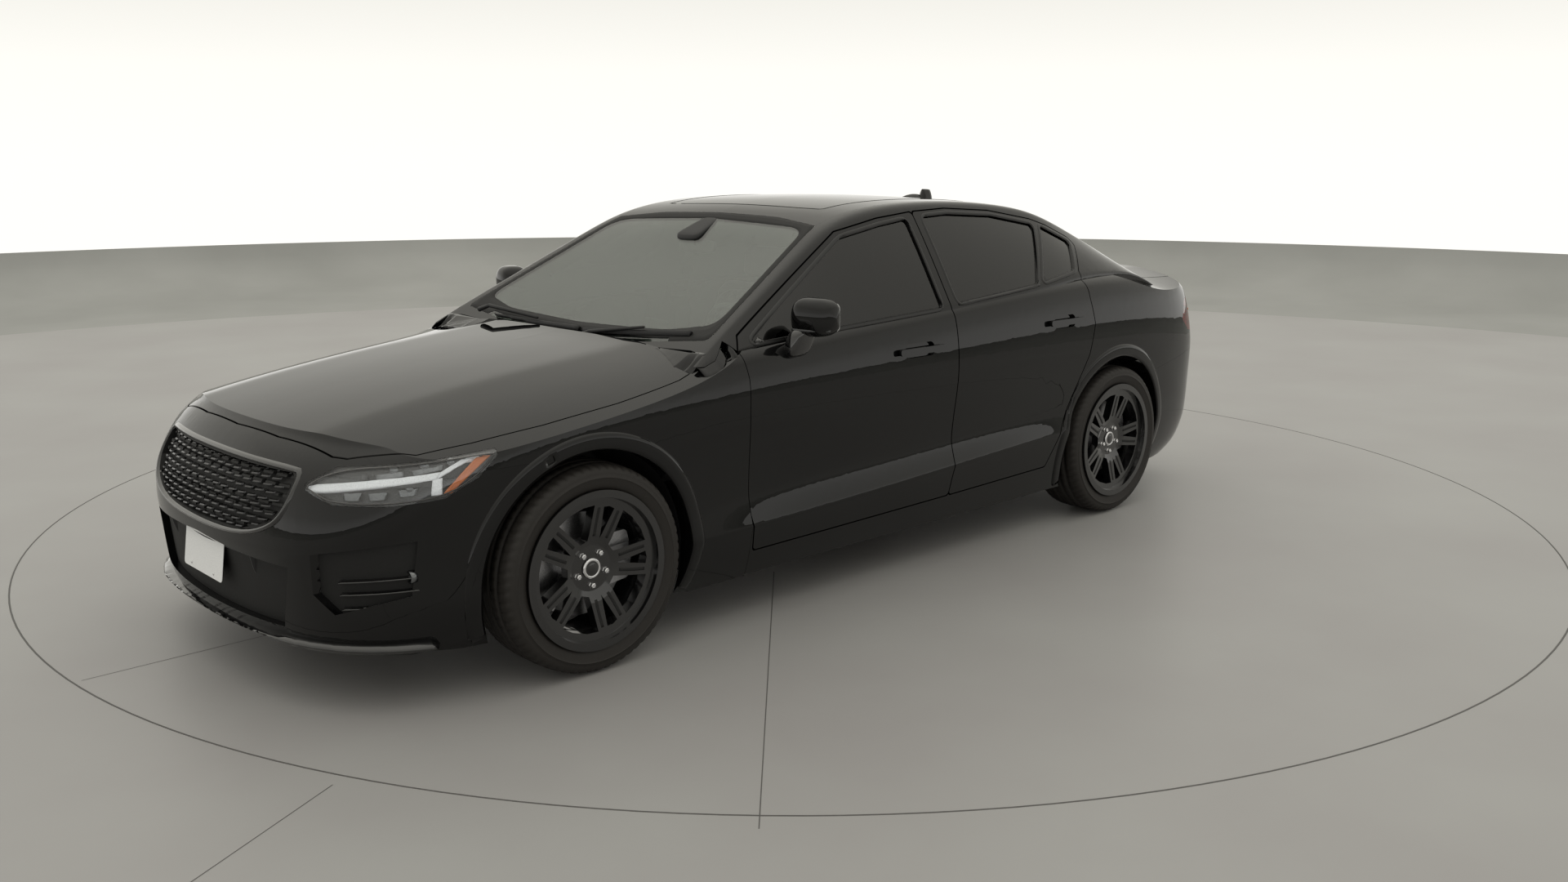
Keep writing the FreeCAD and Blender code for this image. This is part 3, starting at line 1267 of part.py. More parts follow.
def rear_axle():
    """Beam, arms, uprights with stub axles, springs and rear calipers."""
    axle_z = size("tyre_radius")
    half = 0.035 * half_length
    inner = well_inner_rear * 0.8
    low = axle_z - size("disc_radius") * 0.7
    high = REAR_FLOOR_shares[1] * top_height - seam
    shape = block(rear_axle_x - half, rear_axle_x + half, -inner, inner, low, axle_z)
    pipe_room = size("exhaust_radius") * 1.5
    shape = shape.cut(block(rear_axle_x - half, rear_axle_x + half, -pipe_room, pipe_room, low,
                            exhaust_height + pipe_room))
    start, length = spindle(0.6)
    for sign in (1, -1):
        y0 = start - size("hub_offset") * 1.4
        upright = across(size("disc_radius") * 0.56, rear_axle_x, axle_z, y0,
                         start + size("disc_thickness") * 0.2)
        bushing = block(rear_axle_x - half, rear_axle_x + half, inner * 0.8, inner, axle_z, high)
        stub = across(size("spindle_radius"), rear_axle_x, axle_z, y0, start + length)
        arm = block(rear_axle_x - half * 0.6, rear_axle_x + half * 0.6, inner * 0.9,
                    y0 + size("hub_offset"), low, low + 0.030 * top_height)
        link = block(rear_axle_x - half * 0.6, rear_axle_x + half * 0.6, inner * 0.9,
                     y0 + size("hub_offset"), axle_z - 0.020 * top_height, axle_z)
        foot = block(rear_axle_x - half * 0.6, rear_axle_x + half * 0.6, y0,
                     y0 + size("hub_offset"), low, axle_z)
        brake = caliper(rear_axle_x, y0 + size("hub_offset") * 0.4)
        brace = block(rear_axle_x - size("disc_radius") * 0.9, rear_axle_x, y0
                      + size("hub_offset") * 0.4, start - size("hub_offset") * 0.2,
                      axle_z - pin_radius, axle_z + pin_radius)
        left = upright
        for piece in (stub, arm, link, foot, brake, brace, bushing):
            left = left.fuse(piece)
        shape = shape.fuse(left if sign > 0 else mirrored(left))
    return shape


keep("rear_axle", rear_axle())

engine = doc.addObject("Part::Box", "engine_block")
engine.setExpression("Length", "Sizes.engine_length")
engine.setExpression("Width", "Sizes.engine_width")
engine.setExpression("Height", "Sizes.engine_height")
engine.Label = "engine_block"
engine.Placement = FreeCAD.Placement(
    V(front_axle_x - size("engine_length") * 0.5, -size("engine_width") / 2, size("engine_base")),
    FreeCAD.Rotation())
nodes["engine_block"] = engine


TAIL_PIPE_END_share = -0.934


def exhaust():
    """Pipe under the tunnel, silencer and two tail pipes."""
    radius = size("exhaust_radius")
    height = exhaust_height
    ahead = FLOOR_shares[1] * half_length * 0.9
    back = -0.84 * half_length
    pipe = bar(V(ahead, 0, height), V(back + radius * 4, 0, height), radius)
    box = block(back - radius * 6, back + radius * 4, -radius * 8, radius * 8,
                height - radius * 2, REAR_FLOOR_shares[1] * top_height - seam)
    box = box.makeFillet(radius * 0.8, box.Edges)
    shape = pipe.fuse(box)
    for sign in (1, -1):
        tail = bar(V(back, sign * radius * 7, height),
                   V(TAIL_PIPE_END_share * half_length, sign * radius * 7, height), radius)
        shape = shape.fuse(tail)
    return shape


keep("exhaust", exhaust())


# Cabin

def padded_block(points, width, centre_y, radius):
    prism = side_prism(points, centre_y - width / 2, centre_y + width / 2, radius * 1.5)
    rims = [edge for edge in prism.Edges
            if edge.BoundBox.YLength < 1e-3]
    return prism.makeFillet(radius, rims)


FRONT_SEAT_shares = [
    (0.135, 0.300), (0.142, 0.345), (0.085, 0.352), (-0.040, 0.318), (-0.062, 0.345),
    (-0.128, 0.690), (-0.150, 0.716), (-0.182, 0.705), (-0.180, 0.660), (-0.122, 0.300),
    (-0.105, 0.235), (0.125, 0.235),
]
HEAD_REST_shares = [
    (-0.150, 0.735), (-0.156, 0.815), (-0.172, 0.832), (-0.196, 0.822), (-0.200, 0.740),
    (-0.180, 0.728),
]
BENCH_shares = [
    (-0.245, 0.300), (-0.240, 0.345), (-0.290, 0.362), (-0.408, 0.340), (-0.425, 0.370),
    (-0.492, 0.690), (-0.512, 0.716), (-0.545, 0.706), (-0.545, 0.560), (-0.500, 0.330),
    (-0.470, 0.292), (-0.420, BENCH_BASE_share), (-0.255, BENCH_BASE_share),
]
DASH_shares = [
    (0.3949, 0.400), (0.3949, 0.629), (0.375, 0.660), (0.300, 0.655), (0.235, 0.632),
    (0.215, 0.590), (0.225, 0.520), (0.270, 0.440), (0.330, 0.400),
]


def front_seats():
    radius = size("seat_width") * 0.07
    width = size("seat_width")
    centre = size("seat_offset")
    body = padded_block(places(FRONT_SEAT_shares), width, centre, radius)
    rest = padded_block(places(HEAD_REST_shares), width * 0.52, centre, radius * 0.6)
    for side_y in (-0.12, 0.12):
        post = bar(V(-0.172 * half_length, centre + side_y * width, 0.68 * top_height),
                   V(-0.176 * half_length, centre + side_y * width, 0.76 * top_height),
                   radius * 0.2)
        body = body.fuse(post)
    body = body.fuse(rest)
    base = block(-0.085 * half_length, 0.105 * half_length, centre - width * 0.36,
                 centre + width * 0.36, size("floor_height") + size("floor_thickness"),
                 0.25 * top_height)
    body = body.fuse(base)
    return Part.makeCompound([body, mirrored(body)])


def rear_bench():
    radius = size("seat_width") * 0.07
    bench = padded_block(places(BENCH_shares), size("bench_width"), 0, radius)
    for centre in (-0.30, 0.30):
        rest = padded_block([(x + REST_SHIFT_shares[0] * half_length,
                              z + REST_SHIFT_shares[1] * top_height)
                             for x, z in places(HEAD_REST_shares)],
                            size("seat_width") * 0.5, centre * size("bench_width"), radius * 0.6)
        bench = bench.fuse(rest)
    return bench.cut(nodes["floor_pan"].Shape)


REST_SHIFT_shares = (-0.350, -0.028)
keep("front_seats", front_seats())
keep("rear_bench", rear_bench())


def dashboard():
    width = size("floor_half_width") * 1.96
    prism = side_prism(places(DASH_shares), -width / 2, width / 2, size("steering_rim_radius"))
    console = block(-0.100 * half_length, 0.260 * half_length, -0.118 * half_width,
                    0.118 * half_width, size("floor_height") + size("floor_thickness") * 4.4,
                    0.400 * top_height)
    stack = block(0.225 * half_length, 0.330 * half_length, -0.130 * half_width,
                  0.130 * half_width, 0.390 * top_height, 0.560 * top_height)
    shape = prism.fuse(console).fuse(stack)
    column_end = wheel_centre - wheel_normal * size("steering_rim_radius") * 3
    column = bar(column_end - wheel_normal * 0.10 * top_height * 1.5, column_end,
                 size("steering_rim_radius") * 1.6)
    return shape.fuse(column)


wheel_centre = xyz(0.172, size("seat_offset") / half_width, 0.605)
wheel_normal = V(-math.cos(math.radians(24)), 0, math.sin(math.radians(24)))
keep("dashboard", dashboard())


def steering_wheel():
    """Rim, hub and three spokes, square to the column."""
    radius = size("steering_wheel_radius")
    rim_part = Part.makeTorus(radius, size("steering_rim_radius"))
    thick = size("steering_rim_radius")
    hub = Part.makeCylinder(radius * 0.32, thick * 1.6, V(0, 0, -thick * 0.8))
    shape = rim_part.fuse(hub)
    for angle in (0, 90, 180):
        spoke = Part.makeBox(radius * 0.96, thick * 2.4, thick * 0.8,
                             V(0, -thick * 1.2, -thick * 0.5))
        spoke.rotate(V(0, 0, 0), V(0, 0, 1), angle)
        shape = shape.fuse(spoke)
    stem_length = thick * 3 - thick * 0.8 - seat_gap
    shape = shape.fuse(Part.makeCylinder(thick * 1.2, stem_length + thick * 0.8,
                                         V(0, 0, -stem_length - thick * 0.8)))
    turn = FreeCAD.Rotation(V(0, 1, 0), V(0, 0, 1), wheel_normal, "ZXY")
    shape.Placement = FreeCAD.Placement(wheel_centre, turn)
    return shape


keep("steering_wheel", steering_wheel())


def mirror():
    """Housing on a short arm that stands on the door below the glass."""
    shell = padded_block(places(MIRROR_shares), size("mirror_reach") * 1.35,
                         half_width + size("mirror_reach") * 0.32, size("mirror_reach") * 0.16)
    arm = block(0.262 * half_length, 0.292 * half_length, half_width * 0.80,
                half_width * 1.0, 0.655 * top_height, 0.690 * top_height)
    shape = shell.fuse(arm).cut(outer_left).cut(nodes["front_door_left"].Shape)
    return largest(shape)


MIRROR_shares = [
    (0.224, 0.688), (0.222, 0.770), (0.245, 0.785), (0.275, 0.776), (0.298, 0.735),
    (0.296, 0.694), (0.270, 0.676), (0.240, 0.676),
]
keep_pair("mirror", mirror())


def cowl():
    """Panel below the windshield's lower edge, with an upstand that meets the glass."""
    drop = size("liner_thickness") * 3.4
    skin = size("liner_thickness") * 0.8
    lower = moved(cabin_left, z=-drop).cut(moved(cabin_left, z=-drop - skin))
    tray = lower.common(plan(COWL_shares))
    stand = moved(cabin_left, z=-size("glass_thickness") - seam).cut(
        moved(cabin_left, z=-drop - skin)).common(plan(COWL_STAND_shares))
    above = block(-overrun, overrun, -overrun, overrun, COWL_FOOT_share * top_height, overrun)
    return whole(largest(tray.fuse(stand).common(above)))


COWL_shares = [(0.443, -0.010), (0.443, 0.700), (0.3960, 0.700), (0.3990, -0.010)]
COWL_STAND_shares = [(0.4060, -0.010), (0.4000, 0.540), (0.3930, 0.700), (0.3860, 0.700),
                     (0.3960, -0.010)]
keep("cowl_panel", cowl())


# Checks and files

doc.recompute()
for item in doc.Objects:
    if "Invalid" in item.State or "Error" in item.State:
        raise RuntimeError("feature failed: " + item.Label)

shapes = {}
for name, item in nodes.items():
    if isinstance(item, tuple):
        shapes[name] = Part.makeCompound([item[0].Shape, item[1]])
    else:
        shapes[name] = item.Shape
    if shapes[name].isNull() or not shapes[name].isValid() or not shapes[name].Solids:
        raise RuntimeError("bad shape: " + name)

os.makedirs("parts", exist_ok=True)
for name, shape in shapes.items():
    shape.exportStep("parts/%s.step" % name)
print(len(shapes), "sub-parts written")
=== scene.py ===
import math

import bpy
import bmesh
import numpy as np
from mathutils import Matrix, Vector
from mathutils.bvhtree import BVHTree


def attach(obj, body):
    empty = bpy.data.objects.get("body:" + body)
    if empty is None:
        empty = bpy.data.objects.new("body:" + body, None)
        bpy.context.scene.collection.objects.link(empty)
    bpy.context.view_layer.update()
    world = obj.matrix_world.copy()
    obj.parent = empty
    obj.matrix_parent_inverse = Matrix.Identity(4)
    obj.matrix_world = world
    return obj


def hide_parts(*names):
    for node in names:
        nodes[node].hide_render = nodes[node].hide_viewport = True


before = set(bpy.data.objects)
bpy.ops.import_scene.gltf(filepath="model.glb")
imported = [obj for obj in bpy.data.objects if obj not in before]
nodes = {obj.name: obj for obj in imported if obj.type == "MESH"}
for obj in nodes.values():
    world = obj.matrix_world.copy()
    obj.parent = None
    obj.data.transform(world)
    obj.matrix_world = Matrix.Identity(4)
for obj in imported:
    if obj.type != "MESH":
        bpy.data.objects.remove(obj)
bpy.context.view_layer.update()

# Measures of the car in metres, as in the CAD model
HALF_LENGTH = 2.3805
HALF_WIDTH = 0.925
HEIGHT = 1.431
FRONT_X = 1.5075
REAR_X = -1.3645
AXLE_Z = 0.335
WHEEL_Y = 0.801
SIDES = (("left", 1), ("right", -1))
AXLES = (("front", FRONT_X), ("rear", REAR_X))


# Mesh helpers

def link(obj):
    bpy.context.scene.collection.objects.link(obj)
    return obj


def shaded(name, mesh, smooth):
    for polygon in mesh.polygons:
        polygon.use_smooth = smooth
    return link(bpy.data.objects.new(name, mesh))


def raw_mesh(name, vertices, faces):
    mesh = bpy.data.meshes.new(name)
    mesh.from_pydata([tuple(v) for v in vertices], [], faces)
    return mesh


def mesh_object(name, vertices, faces, smooth=True):
    mesh = raw_mesh(name, vertices, faces)
    mesh.validate()
    return shaded(name, mesh, smooth)


def from_bmesh(name, bm, smooth=True):
    bmesh.ops.recalc_face_normals(bm, faces=bm.faces[:])
    mesh = bpy.data.meshes.new(name)
    bm.to_mesh(mesh)
    bm.free()
    return shaded(name, mesh, smooth)


def solid(name, vertices, faces, weld=False):
    """Smooth mesh with its faces turned outward; weld joins corners in one place."""
    bm = bmesh.new()
    bm.from_mesh(raw_mesh(name + "_raw", vertices, faces))
    if weld:
        bmesh.ops.remove_doubles(bm, verts=bm.verts[:], dist=1e-6)
    return from_bmesh(name, bm)


def finished(obj, material, body, covers=()):
    """Gives a piece its material and the CAD body it rides on."""
    if not obj.data.materials:
        obj.data.materials.append(material)
    for node in covers:
        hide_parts(node)
    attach(obj, body)
    return obj


def mirrored(obj, name):
    mesh = obj.data.copy()
    mesh.name = name
    mesh.transform(obj.matrix_world)
    mesh.transform(Matrix.Diagonal((1, -1, 1, 1)))
    mesh.flip_normals()
    return link(bpy.data.objects.new(name, mesh))


def on_both(obj, name, material, body, *covers):
    """The left piece and its mirror image; body and covers may hold a side in braces."""
    obj.name = name + "_left"
    for piece, side in ((obj, "left"), (mirrored(obj, name + "_right"), "right")):
        finished(piece, material, body.format(side), [node.format(side) for node in covers])


class Skin:
    """Casts rays against some of the CAD nodes at rest."""

    def __init__(self, *names):
        vertices, faces, self.owner = [], [], []
        for name in names:
            obj = nodes[name]
            base = len(vertices)
            vertices += [obj.matrix_world @ v.co for v in obj.data.vertices]
            faces += [tuple(base + i for i in p.vertices) for p in obj.data.polygons]
            self.owner += [name] * len(obj.data.polygons)
        self.tree = BVHTree.FromPolygons(vertices, faces)

    def hit(self, origin, direction):
        direction = Vector(direction).normalized()
        place, normal, index, _ = self.tree.ray_cast(Vector(origin), direction)
        if place is None:
            return None
        if normal.dot(direction) > 0:
            normal = -normal
        return place, normal, self.owner[index]

    def side(self, x, z):
        return self.hit((x, 1.6, z), (0, -1, 0))

    def top(self, x, y):
        return self.hit((x, y, 2.2), (0, 0, -1))

    def front(self, y, z):
        return self.hit((3.0, y, z), (-1, 0, 0))

    def back(self, y, z):
        return self.hit((-3.0, y, z), (1, 0, 0))

    def corner(self, s, z):
        root = math.sqrt(0.5)
        return self.hit((s * root + 2.2, -s * root + 2.2, z), (-1, -1, 0))


def resampled(points, count, closed=False):
    """Evenly spaced points along a polyline of any dimension."""
    points = [np.array(p, dtype=float) for p in points]
    if closed:
        points = points + points[:1]
    lengths = [0.0]
    for a, b in zip(points, points[1:]):
        lengths.append(lengths[-1] + float(np.linalg.norm(b - a)))
    stations = np.linspace(0, lengths[-1], count + 1 if closed else count)
    result = []
    for station in stations[:count]:
        i = min(max(int(np.searchsorted(lengths, station, side="right")) - 1, 0), len(points) - 2)
        span = max(lengths[i + 1] - lengths[i], 1e-9)
        t = (station - lengths[i]) / span
        result.append(points[i] * (1 - t) + points[i + 1] * t)
    return result


def softened(points, rounds=2, closed=False):
    """Corner cutting, so that a polyline turns smoothly."""
    points = [np.array(p, dtype=float) for p in points]
    for _ in range(rounds):
        ring = points + points[:1] if closed else points
        cut = []
        for a, b in zip(ring, ring[1:]):
            cut += [a * 0.75 + b * 0.25, a * 0.25 + b * 0.75]
        points = cut if closed else [points[0]] + cut + [points[-1]]
    return points


def beside(path, distance, closed=False):
    """Polyline moved sideways in its plane."""
    path = [np.array(p, dtype=float) for p in path]
    result = []
    count = len(path)
    for i, point in enumerate(path):
        before = path[i - 1] if closed or i else point
        after = path[(i + 1) % count] if closed or i < count - 1 else point
        along = after - before
        length = max(float(np.linalg.norm(along)), 1e-9)
        result.append(point + np.array((-along[1], along[0])) / length * distance)
    return result


def inward(path, distance):
    """Closed polyline moved to its inside, whichever way round it runs."""
    turn = sum(a[0] * b[1] - b[0] * a[1] for a, b in zip(path, path[1:] + path[:1]))
    return beside(path, distance if turn > 0 else -distance, True)


def relaxed(points, rounds):
    """Closed polyline with each point drawn to its neighbours."""
    for _ in range(rounds):
        points = [points[i - 1] * 0.25 + p * 0.5 + points[(i + 1) % len(points)] * 0.25
                  for i, p in enumerate(points)]
    return points


def smooth_ring(outline, rounds, count):
    return resampled(softened(outline, rounds, True), count, True)


def straight(start, end, count):
    return list(np.linspace(start, end, count))


def patch(name, cast, edge_a, edge_b, lifts, sink=0.002, closed=False, keep=None):
    """Thin solid on a surface between two edges drawn in the caster's plane.

    lifts holds one height for each of the rows across."""
    rows = len(lifts)
    columns = len(edge_a)
    top, low, alive = {}, {}, {}
    last = None
    for i in range(columns):
        for j in range(rows):
            t = j / (rows - 1)
            a, b = edge_a[i], edge_b[i]
            found = cast(*(np.array(a) * (1 - t) + np.array(b) * t))
            ok = found is not None and (keep is None or keep(found))
            alive[i, j] = ok
            if found is None:
                found = last
            if found is None:
                continue
            last = found
            place, normal = found[0], found[1]
            top[i, j] = place + normal * lifts[j]
            low[i, j] = place - normal * sink
    bm = bmesh.new()
    verts = {}

    def vert(layer, key):
        if (layer, key) not in verts:
            verts[layer, key] = bm.verts.new((top if layer else low)[key])
        return verts[layer, key]

    cells = set()
    for i in range(columns if closed else columns - 1):
        for j in range(rows - 1):
            following = (i + 1) % columns
            corners = [(i, j), (following, j), (following, j + 1), (i, j + 1)]
            if all(alive.get(c) for c in corners):
                cells.add((i, j))
                bm.faces.new([vert(1, c) for c in corners])
                bm.faces.new([vert(0, c) for c in reversed(corners)])
    for i, j in cells:
        following = (i + 1) % columns
        neighbours = (((i, j - 1), (i, j), (following, j)),
                      ((following, j), (following, j), (following, j + 1)),
                      ((i, j + 1), (following, j + 1), (i, j + 1)),
                      (((i - 1) % columns if closed else i - 1, j), (i, j + 1), (i, j)))
        for other, p, q in neighbours:
            if other not in cells:
                bm.faces.new([vert(1, q), vert(1, p), vert(0, p), vert(0, q)])
    return from_bmesh(name, bm)


def strip(name, cast, path, half_width, lifts, sink=0.002, closed=False, keep=None):
    """Thin solid of even width along a path on a surface."""
    return patch(name, cast, beside(path, half_width, closed), beside(path, -half_width, closed),
                 lifts, sink, closed, keep)


def band(name, cast, path, half_width, lift, count, rounds=1, sink=0.002):
    """Open strip with soft edges along a path that is smoothed first."""
    return strip(name, cast, resampled(softened(path, rounds), count), half_width,
                 [0.0002, lift, lift, 0.0002], sink)


def loft(bm, rings, capped=False):
    """Walls between closed rings of corners, with flat ends if capped."""
    for a, b in zip(rings, rings[1:]):
        for k in range(len(a)):
            n = (k + 1) % len(a)
            bm.faces.new((a[k], a[n], b[n], b[k]))
    if capped:
        bm.faces.new(list(reversed(rings[0])))
        bm.faces.new(rings[-1])


def loft_faces(stations, ring, capped=True):
    """Faces of a loft whose corners are numbered from one ring to the next."""
    walls = [(i * ring + k, i * ring + (k + 1) % ring, (i + 1) * ring + (k + 1) % ring,
              (i + 1) * ring + k) for i in range(stations - 1) for k in range(ring)]
    ends = [tuple(reversed(range(ring))), tuple((stations - 1) * ring + k for k in range(ring))]
    return walls + ends if capped else walls


def superbox(name, centre, half, power=4.0, rings=14, segments=24, squeeze=None):
    """Closed rounded body; squeeze may move each point."""
    bm = bmesh.new()

    def shaped(c, p):
        return math.copysign(abs(c) ** p, c)

    layers = []
    for r in range(1, rings):
        polar = math.pi * r / rings
        layer = []
        for s in range(segments):
            turn = 2 * math.pi * s / segments
            p = 2 / power
            point = Vector((half[0] * shaped(math.sin(polar), p) * shaped(math.cos(turn), p),
                            half[1] * shaped(math.sin(polar), p) * shaped(math.sin(turn), p),
                            half[2] * shaped(math.cos(polar), p)))
            if squeeze:
                point = squeeze(point)
            layer.append(bm.verts.new(point + Vector(centre)))
        layers.append(layer)
    poles = []
    for sign in (1, -1):
        point = Vector((0, 0, half[2] * sign))
        if squeeze:
            point = squeeze(point)
        poles.append(bm.verts.new(point + Vector(centre)))
    loft(bm, layers)
    for s in range(segments):
        t = (s + 1) % segments
        bm.faces.new((poles[0], layers[0][s], layers[0][t]))
        bm.faces.new((poles[1], layers[-1][t], layers[-1][s]))
    return from_bmesh(name, bm)


def revolved(name, profile, centre, axis="Y", segments=48):
    """Closed profile of (along, radius) turned about an axis through centre."""
    vertices, faces = [], []
    count = len(profile)
    for s in range(segments):
        angle = 2 * math.pi * s / segments
        for along, radius in profile:
            u, v = radius * math.cos(angle), radius * math.sin(angle)
            point = {"Y": (u, along, v), "X": (along, u, v), "Z": (u, v, along)}[axis]
            vertices.append(Vector(point) + Vector(centre))
    for s in range(segments):
        t = (s + 1) % segments
        for i in range(count):
            j = (i + 1) % count
            faces.append((s * count + i, s * count + j, t * count + j, t * count + i))
    return solid(name, vertices, faces, weld=True)


def tube(name, path, radius, sides=10):
    """Round rod along 3-D points with closed ends."""
    bm = bmesh.new()
    rings = []
    path = [Vector(p) for p in path]
    for i, point in enumerate(path):
        along = (path[min(i + 1, len(path) - 1)] - path[max(i - 1, 0)]).normalized()
        across = along.orthogonal().normalized() if not rings else (
            rings_across - along * rings_across.dot(along)).normalized()
        rings_across = across
        other = along.cross(across)
        r = radius[i] if isinstance(radius, (list, tuple)) else radius
        rings.append([bm.verts.new(point + (across * math.cos(a) + other * math.sin(a)) * r)
                      for a in (2 * math.pi * k / sides for k in range(sides))])
    loft(bm, rings, capped=True)
    return from_bmesh(name, bm)


def rounded_slab(name, width, height, thickness, corner, matrix, segments=5):
    """Flat plate with round corners and bevelled rims, in the XY plane of a matrix."""
    outline = []
    for cx, cy, start in ((1, 1, 0), (-1, 1, 90), (-1, -1, 180), (1, -1, 270)):
        for k in range(segments + 1):
            a = math.radians(start + 90 * k / segments)
            outline.append((cx * (width / 2 - corner) + corner * math.cos(a),
                            cy * (height / 2 - corner) + corner * math.sin(a)))
    rim = thickness * 0.3
    bm = bmesh.new()
    layers = []
    for inset, z in ((rim, 0), (0, rim), (0, thickness - rim), (rim, thickness)):
        layers.append([bm.verts.new(matrix @ Vector((x * (1 - inset / width * 2),
                                                     y * (1 - inset / height * 2), z)))
                       for x, y in outline])
    loft(bm, layers, capped=True)
    return from_bmesh(name, bm, False)


# Materials

def new_material(name, color=(0.5, 0.5, 0.5), roughness=0.5, metallic=0.0, **inputs):
    material = bpy.data.materials.new(name)
    material.use_nodes = True
    shader = material.node_tree.nodes["Principled BSDF"]
    shader.inputs["Base Color"].default_value = (*color, 1)
    shader.inputs["Roughness"].default_value = roughness
    shader.inputs["Metallic"].default_value = metallic
    for key, value in inputs.items():
        shader.inputs[key.replace("_", " ")].default_value = value
    return material, material.node_tree, shader


def add_noise(tree, scale, detail):
    place = tree.nodes.new("ShaderNodeTexCoord")
    noise = tree.nodes.new("ShaderNodeTexNoise")
    noise.inputs["Scale"].default_value = scale
    noise.inputs["Detail"].default_value = detail
    tree.links.new(place.outputs["Object"], noise.inputs["Vector"])
    return noise.outputs[0]


def bumped(tree, shader, height, strength, distance):
    bump = tree.nodes.new("ShaderNodeBump")
    bump.inputs["Strength"].default_value = strength
    bump.inputs["Distance"].default_value = distance
    tree.links.new(height, bump.inputs["Height"])
    tree.links.new(bump.outputs["Normal"], shader.inputs["Normal"])


def ranged(tree, value, low, high, start=0.3, end=0.7):
    ramp = tree.nodes.new("ShaderNodeMapRange")
    ramp.inputs["From Min"].default_value = start
    ramp.inputs["From Max"].default_value = end
    ramp.inputs["To Min"].default_value = low
    ramp.inputs["To Max"].default_value = high
    tree.links.new(value, ramp.inputs["Value"])
    return ramp.outputs["Result"]


def mixed_color(tree, value, first, second):
    ramp = tree.nodes.new("ShaderNodeValToRGB")
    ramp.color_ramp.elements[0].position = 0.3
    ramp.color_ramp.elements[0].color = (*first, 1)
    ramp.color_ramp.elements[1].position = 0.7
    ramp.color_ramp.elements[1].color = (*second, 1)
    tree.links.new(value, ramp.inputs["Fac"])
    return ramp.outputs["Color"]


def paint_material():
    material, tree, shader = new_material("black_paint", (0.002, 0.002, 0.002), 0.35, 0.0,
                                          Coat_Weight=1.0, Coat_Roughness=0.012, Coat_IOR=1.43)
    shader.inputs["Specular IOR Level"].default_value = 0.0
    flakes = add_noise(tree, 2600, 1.0)
    color = mixed_color(tree, flakes, (0.0016, 0.0016, 0.0018), (0.0040, 0.0040, 0.0042))
    tree.links.new(color, shader.inputs["Base Color"])
    bumped(tree, shader, add_noise(tree, 900, 1.0), 0.010, 0.0002)
    return material


def plain_material(name, color, roughness, bump_scale, bump_strength, second=None, metallic=0.0,
                   **inputs):
    material, tree, shader = new_material(name, color, roughness, metallic, **inputs)
    noise = add_noise(tree, bump_scale, 3.0)
    second = second or tuple(c * 1.35 + 0.002 for c in color)
    tree.links.new(mixed_color(tree, noise, color, second), shader.inputs["Base Color"])
    tree.links.new(ranged(tree, noise, roughness * 0.85, min(1, roughness * 1.15)),
                   shader.inputs["Roughness"])
    bumped(tree, shader, noise, bump_strength, 0.0006)
    return material


def glass_material(name, color, density):
    """Tinted pane: part of the light passes straight through, the rest is gloss."""
    roughness, edge_gloss, falloff = 0.02, 0.85, 4.0
    material = bpy.data.materials.new(name)
    material.use_nodes = True
    tree = material.node_tree
    tree.nodes.clear()
    output = tree.nodes.new("ShaderNodeOutputMaterial")
    clear = tree.nodes.new("ShaderNodeBsdfTransparent")
    clear.inputs["Color"].default_value = (*color, 1)
    gloss = tree.nodes.new("ShaderNodeBsdfGlossy")
    gloss.inputs["Color"].default_value = (1, 1, 1, 1)
    gloss.inputs["Roughness"].default_value = roughness
    facing = tree.nodes.new("ShaderNodeLayerWeight")
    facing.inputs["Blend"].default_value = 0.5
    power = tree.nodes.new("ShaderNodeMath")
    power.operation = "POWER"
    power.inputs[1].default_value = falloff
    tree.links.new(facing.outputs["Facing"], power.inputs[0])
    share = ranged(tree, power.outputs[0], density, edge_gloss, 0.0, 1.0)
    mix = tree.nodes.new("ShaderNodeMixShader")
    tree.links.new(share, mix.inputs["Fac"])
    tree.links.new(clear.outputs[0], mix.inputs[1])
    tree.links.new(gloss.outputs[0], mix.inputs[2])
    tree.links.new(mix.outputs[0], output.inputs["Surface"])
    return material


paint = paint_material()
dark_glass = glass_material("dark_glass", (0.10, 0.105, 0.105), 0.045)
roof_tint = glass_material("roof_tint", (0.05, 0.05, 0.055), 0.05)
screen_glass = glass_material("screen_glass", (0.74, 0.80, 0.76), 0.04)
lamp_glass = glass_material("lamp_glass", (0.94, 0.95, 0.96), 0.045)
red_glass = glass_material("red_glass", (0.50, 0.012, 0.01), 0.05)
black_plastic = plain_material("black_plastic", (0.010, 0.010, 0.011), 0.55, 700, 0.25)
gloss_black = plain_material("gloss_black", (0.0022, 0.0022, 0.0025), 0.12, 1200, 0.01,
                             Coat_Weight=1.0, Coat_Roughness=0.03)
satin_black = plain_material("satin_black", (0.0035, 0.0035, 0.0037), 0.42, 800, 0.05)
# deep_black is the grille's own colour; on the spoke grooves it is painted shade
deep_black = plain_material("deep_black", (0.0016, 0.0016, 0.0017), 0.70, 600, 0.20)
wheel_black = plain_material("wheel_black", (0.0035, 0.0035, 0.0038), 0.20, 900, 0.03,
                             Coat_Weight=0.8, Coat_Roughness=0.06)
undercoat = plain_material("undercoat", (0.02, 0.02, 0.022), 0.65, 90, 0.35)
cast_metal = plain_material("cast_metal", (0.26, 0.26, 0.27), 0.50, 260, 0.30, metallic=0.9)
brushed = plain_material("brushed_disc", (0.34, 0.34, 0.35), 0.30, 420, 0.06, metallic=1.0)
caliper_silver = plain_material("caliper_silver", (0.34, 0.34, 0.35), 0.38, 200, 0.12, metallic=0.8)
bright_metal = plain_material("bright_bolt", (0.62, 0.62, 0.63), 0.22, 300, 0.05, metallic=1.0)
dash_metal = plain_material("grille_dash", (0.055, 0.055, 0.057), 0.22, 500, 0.05, metallic=1.0)
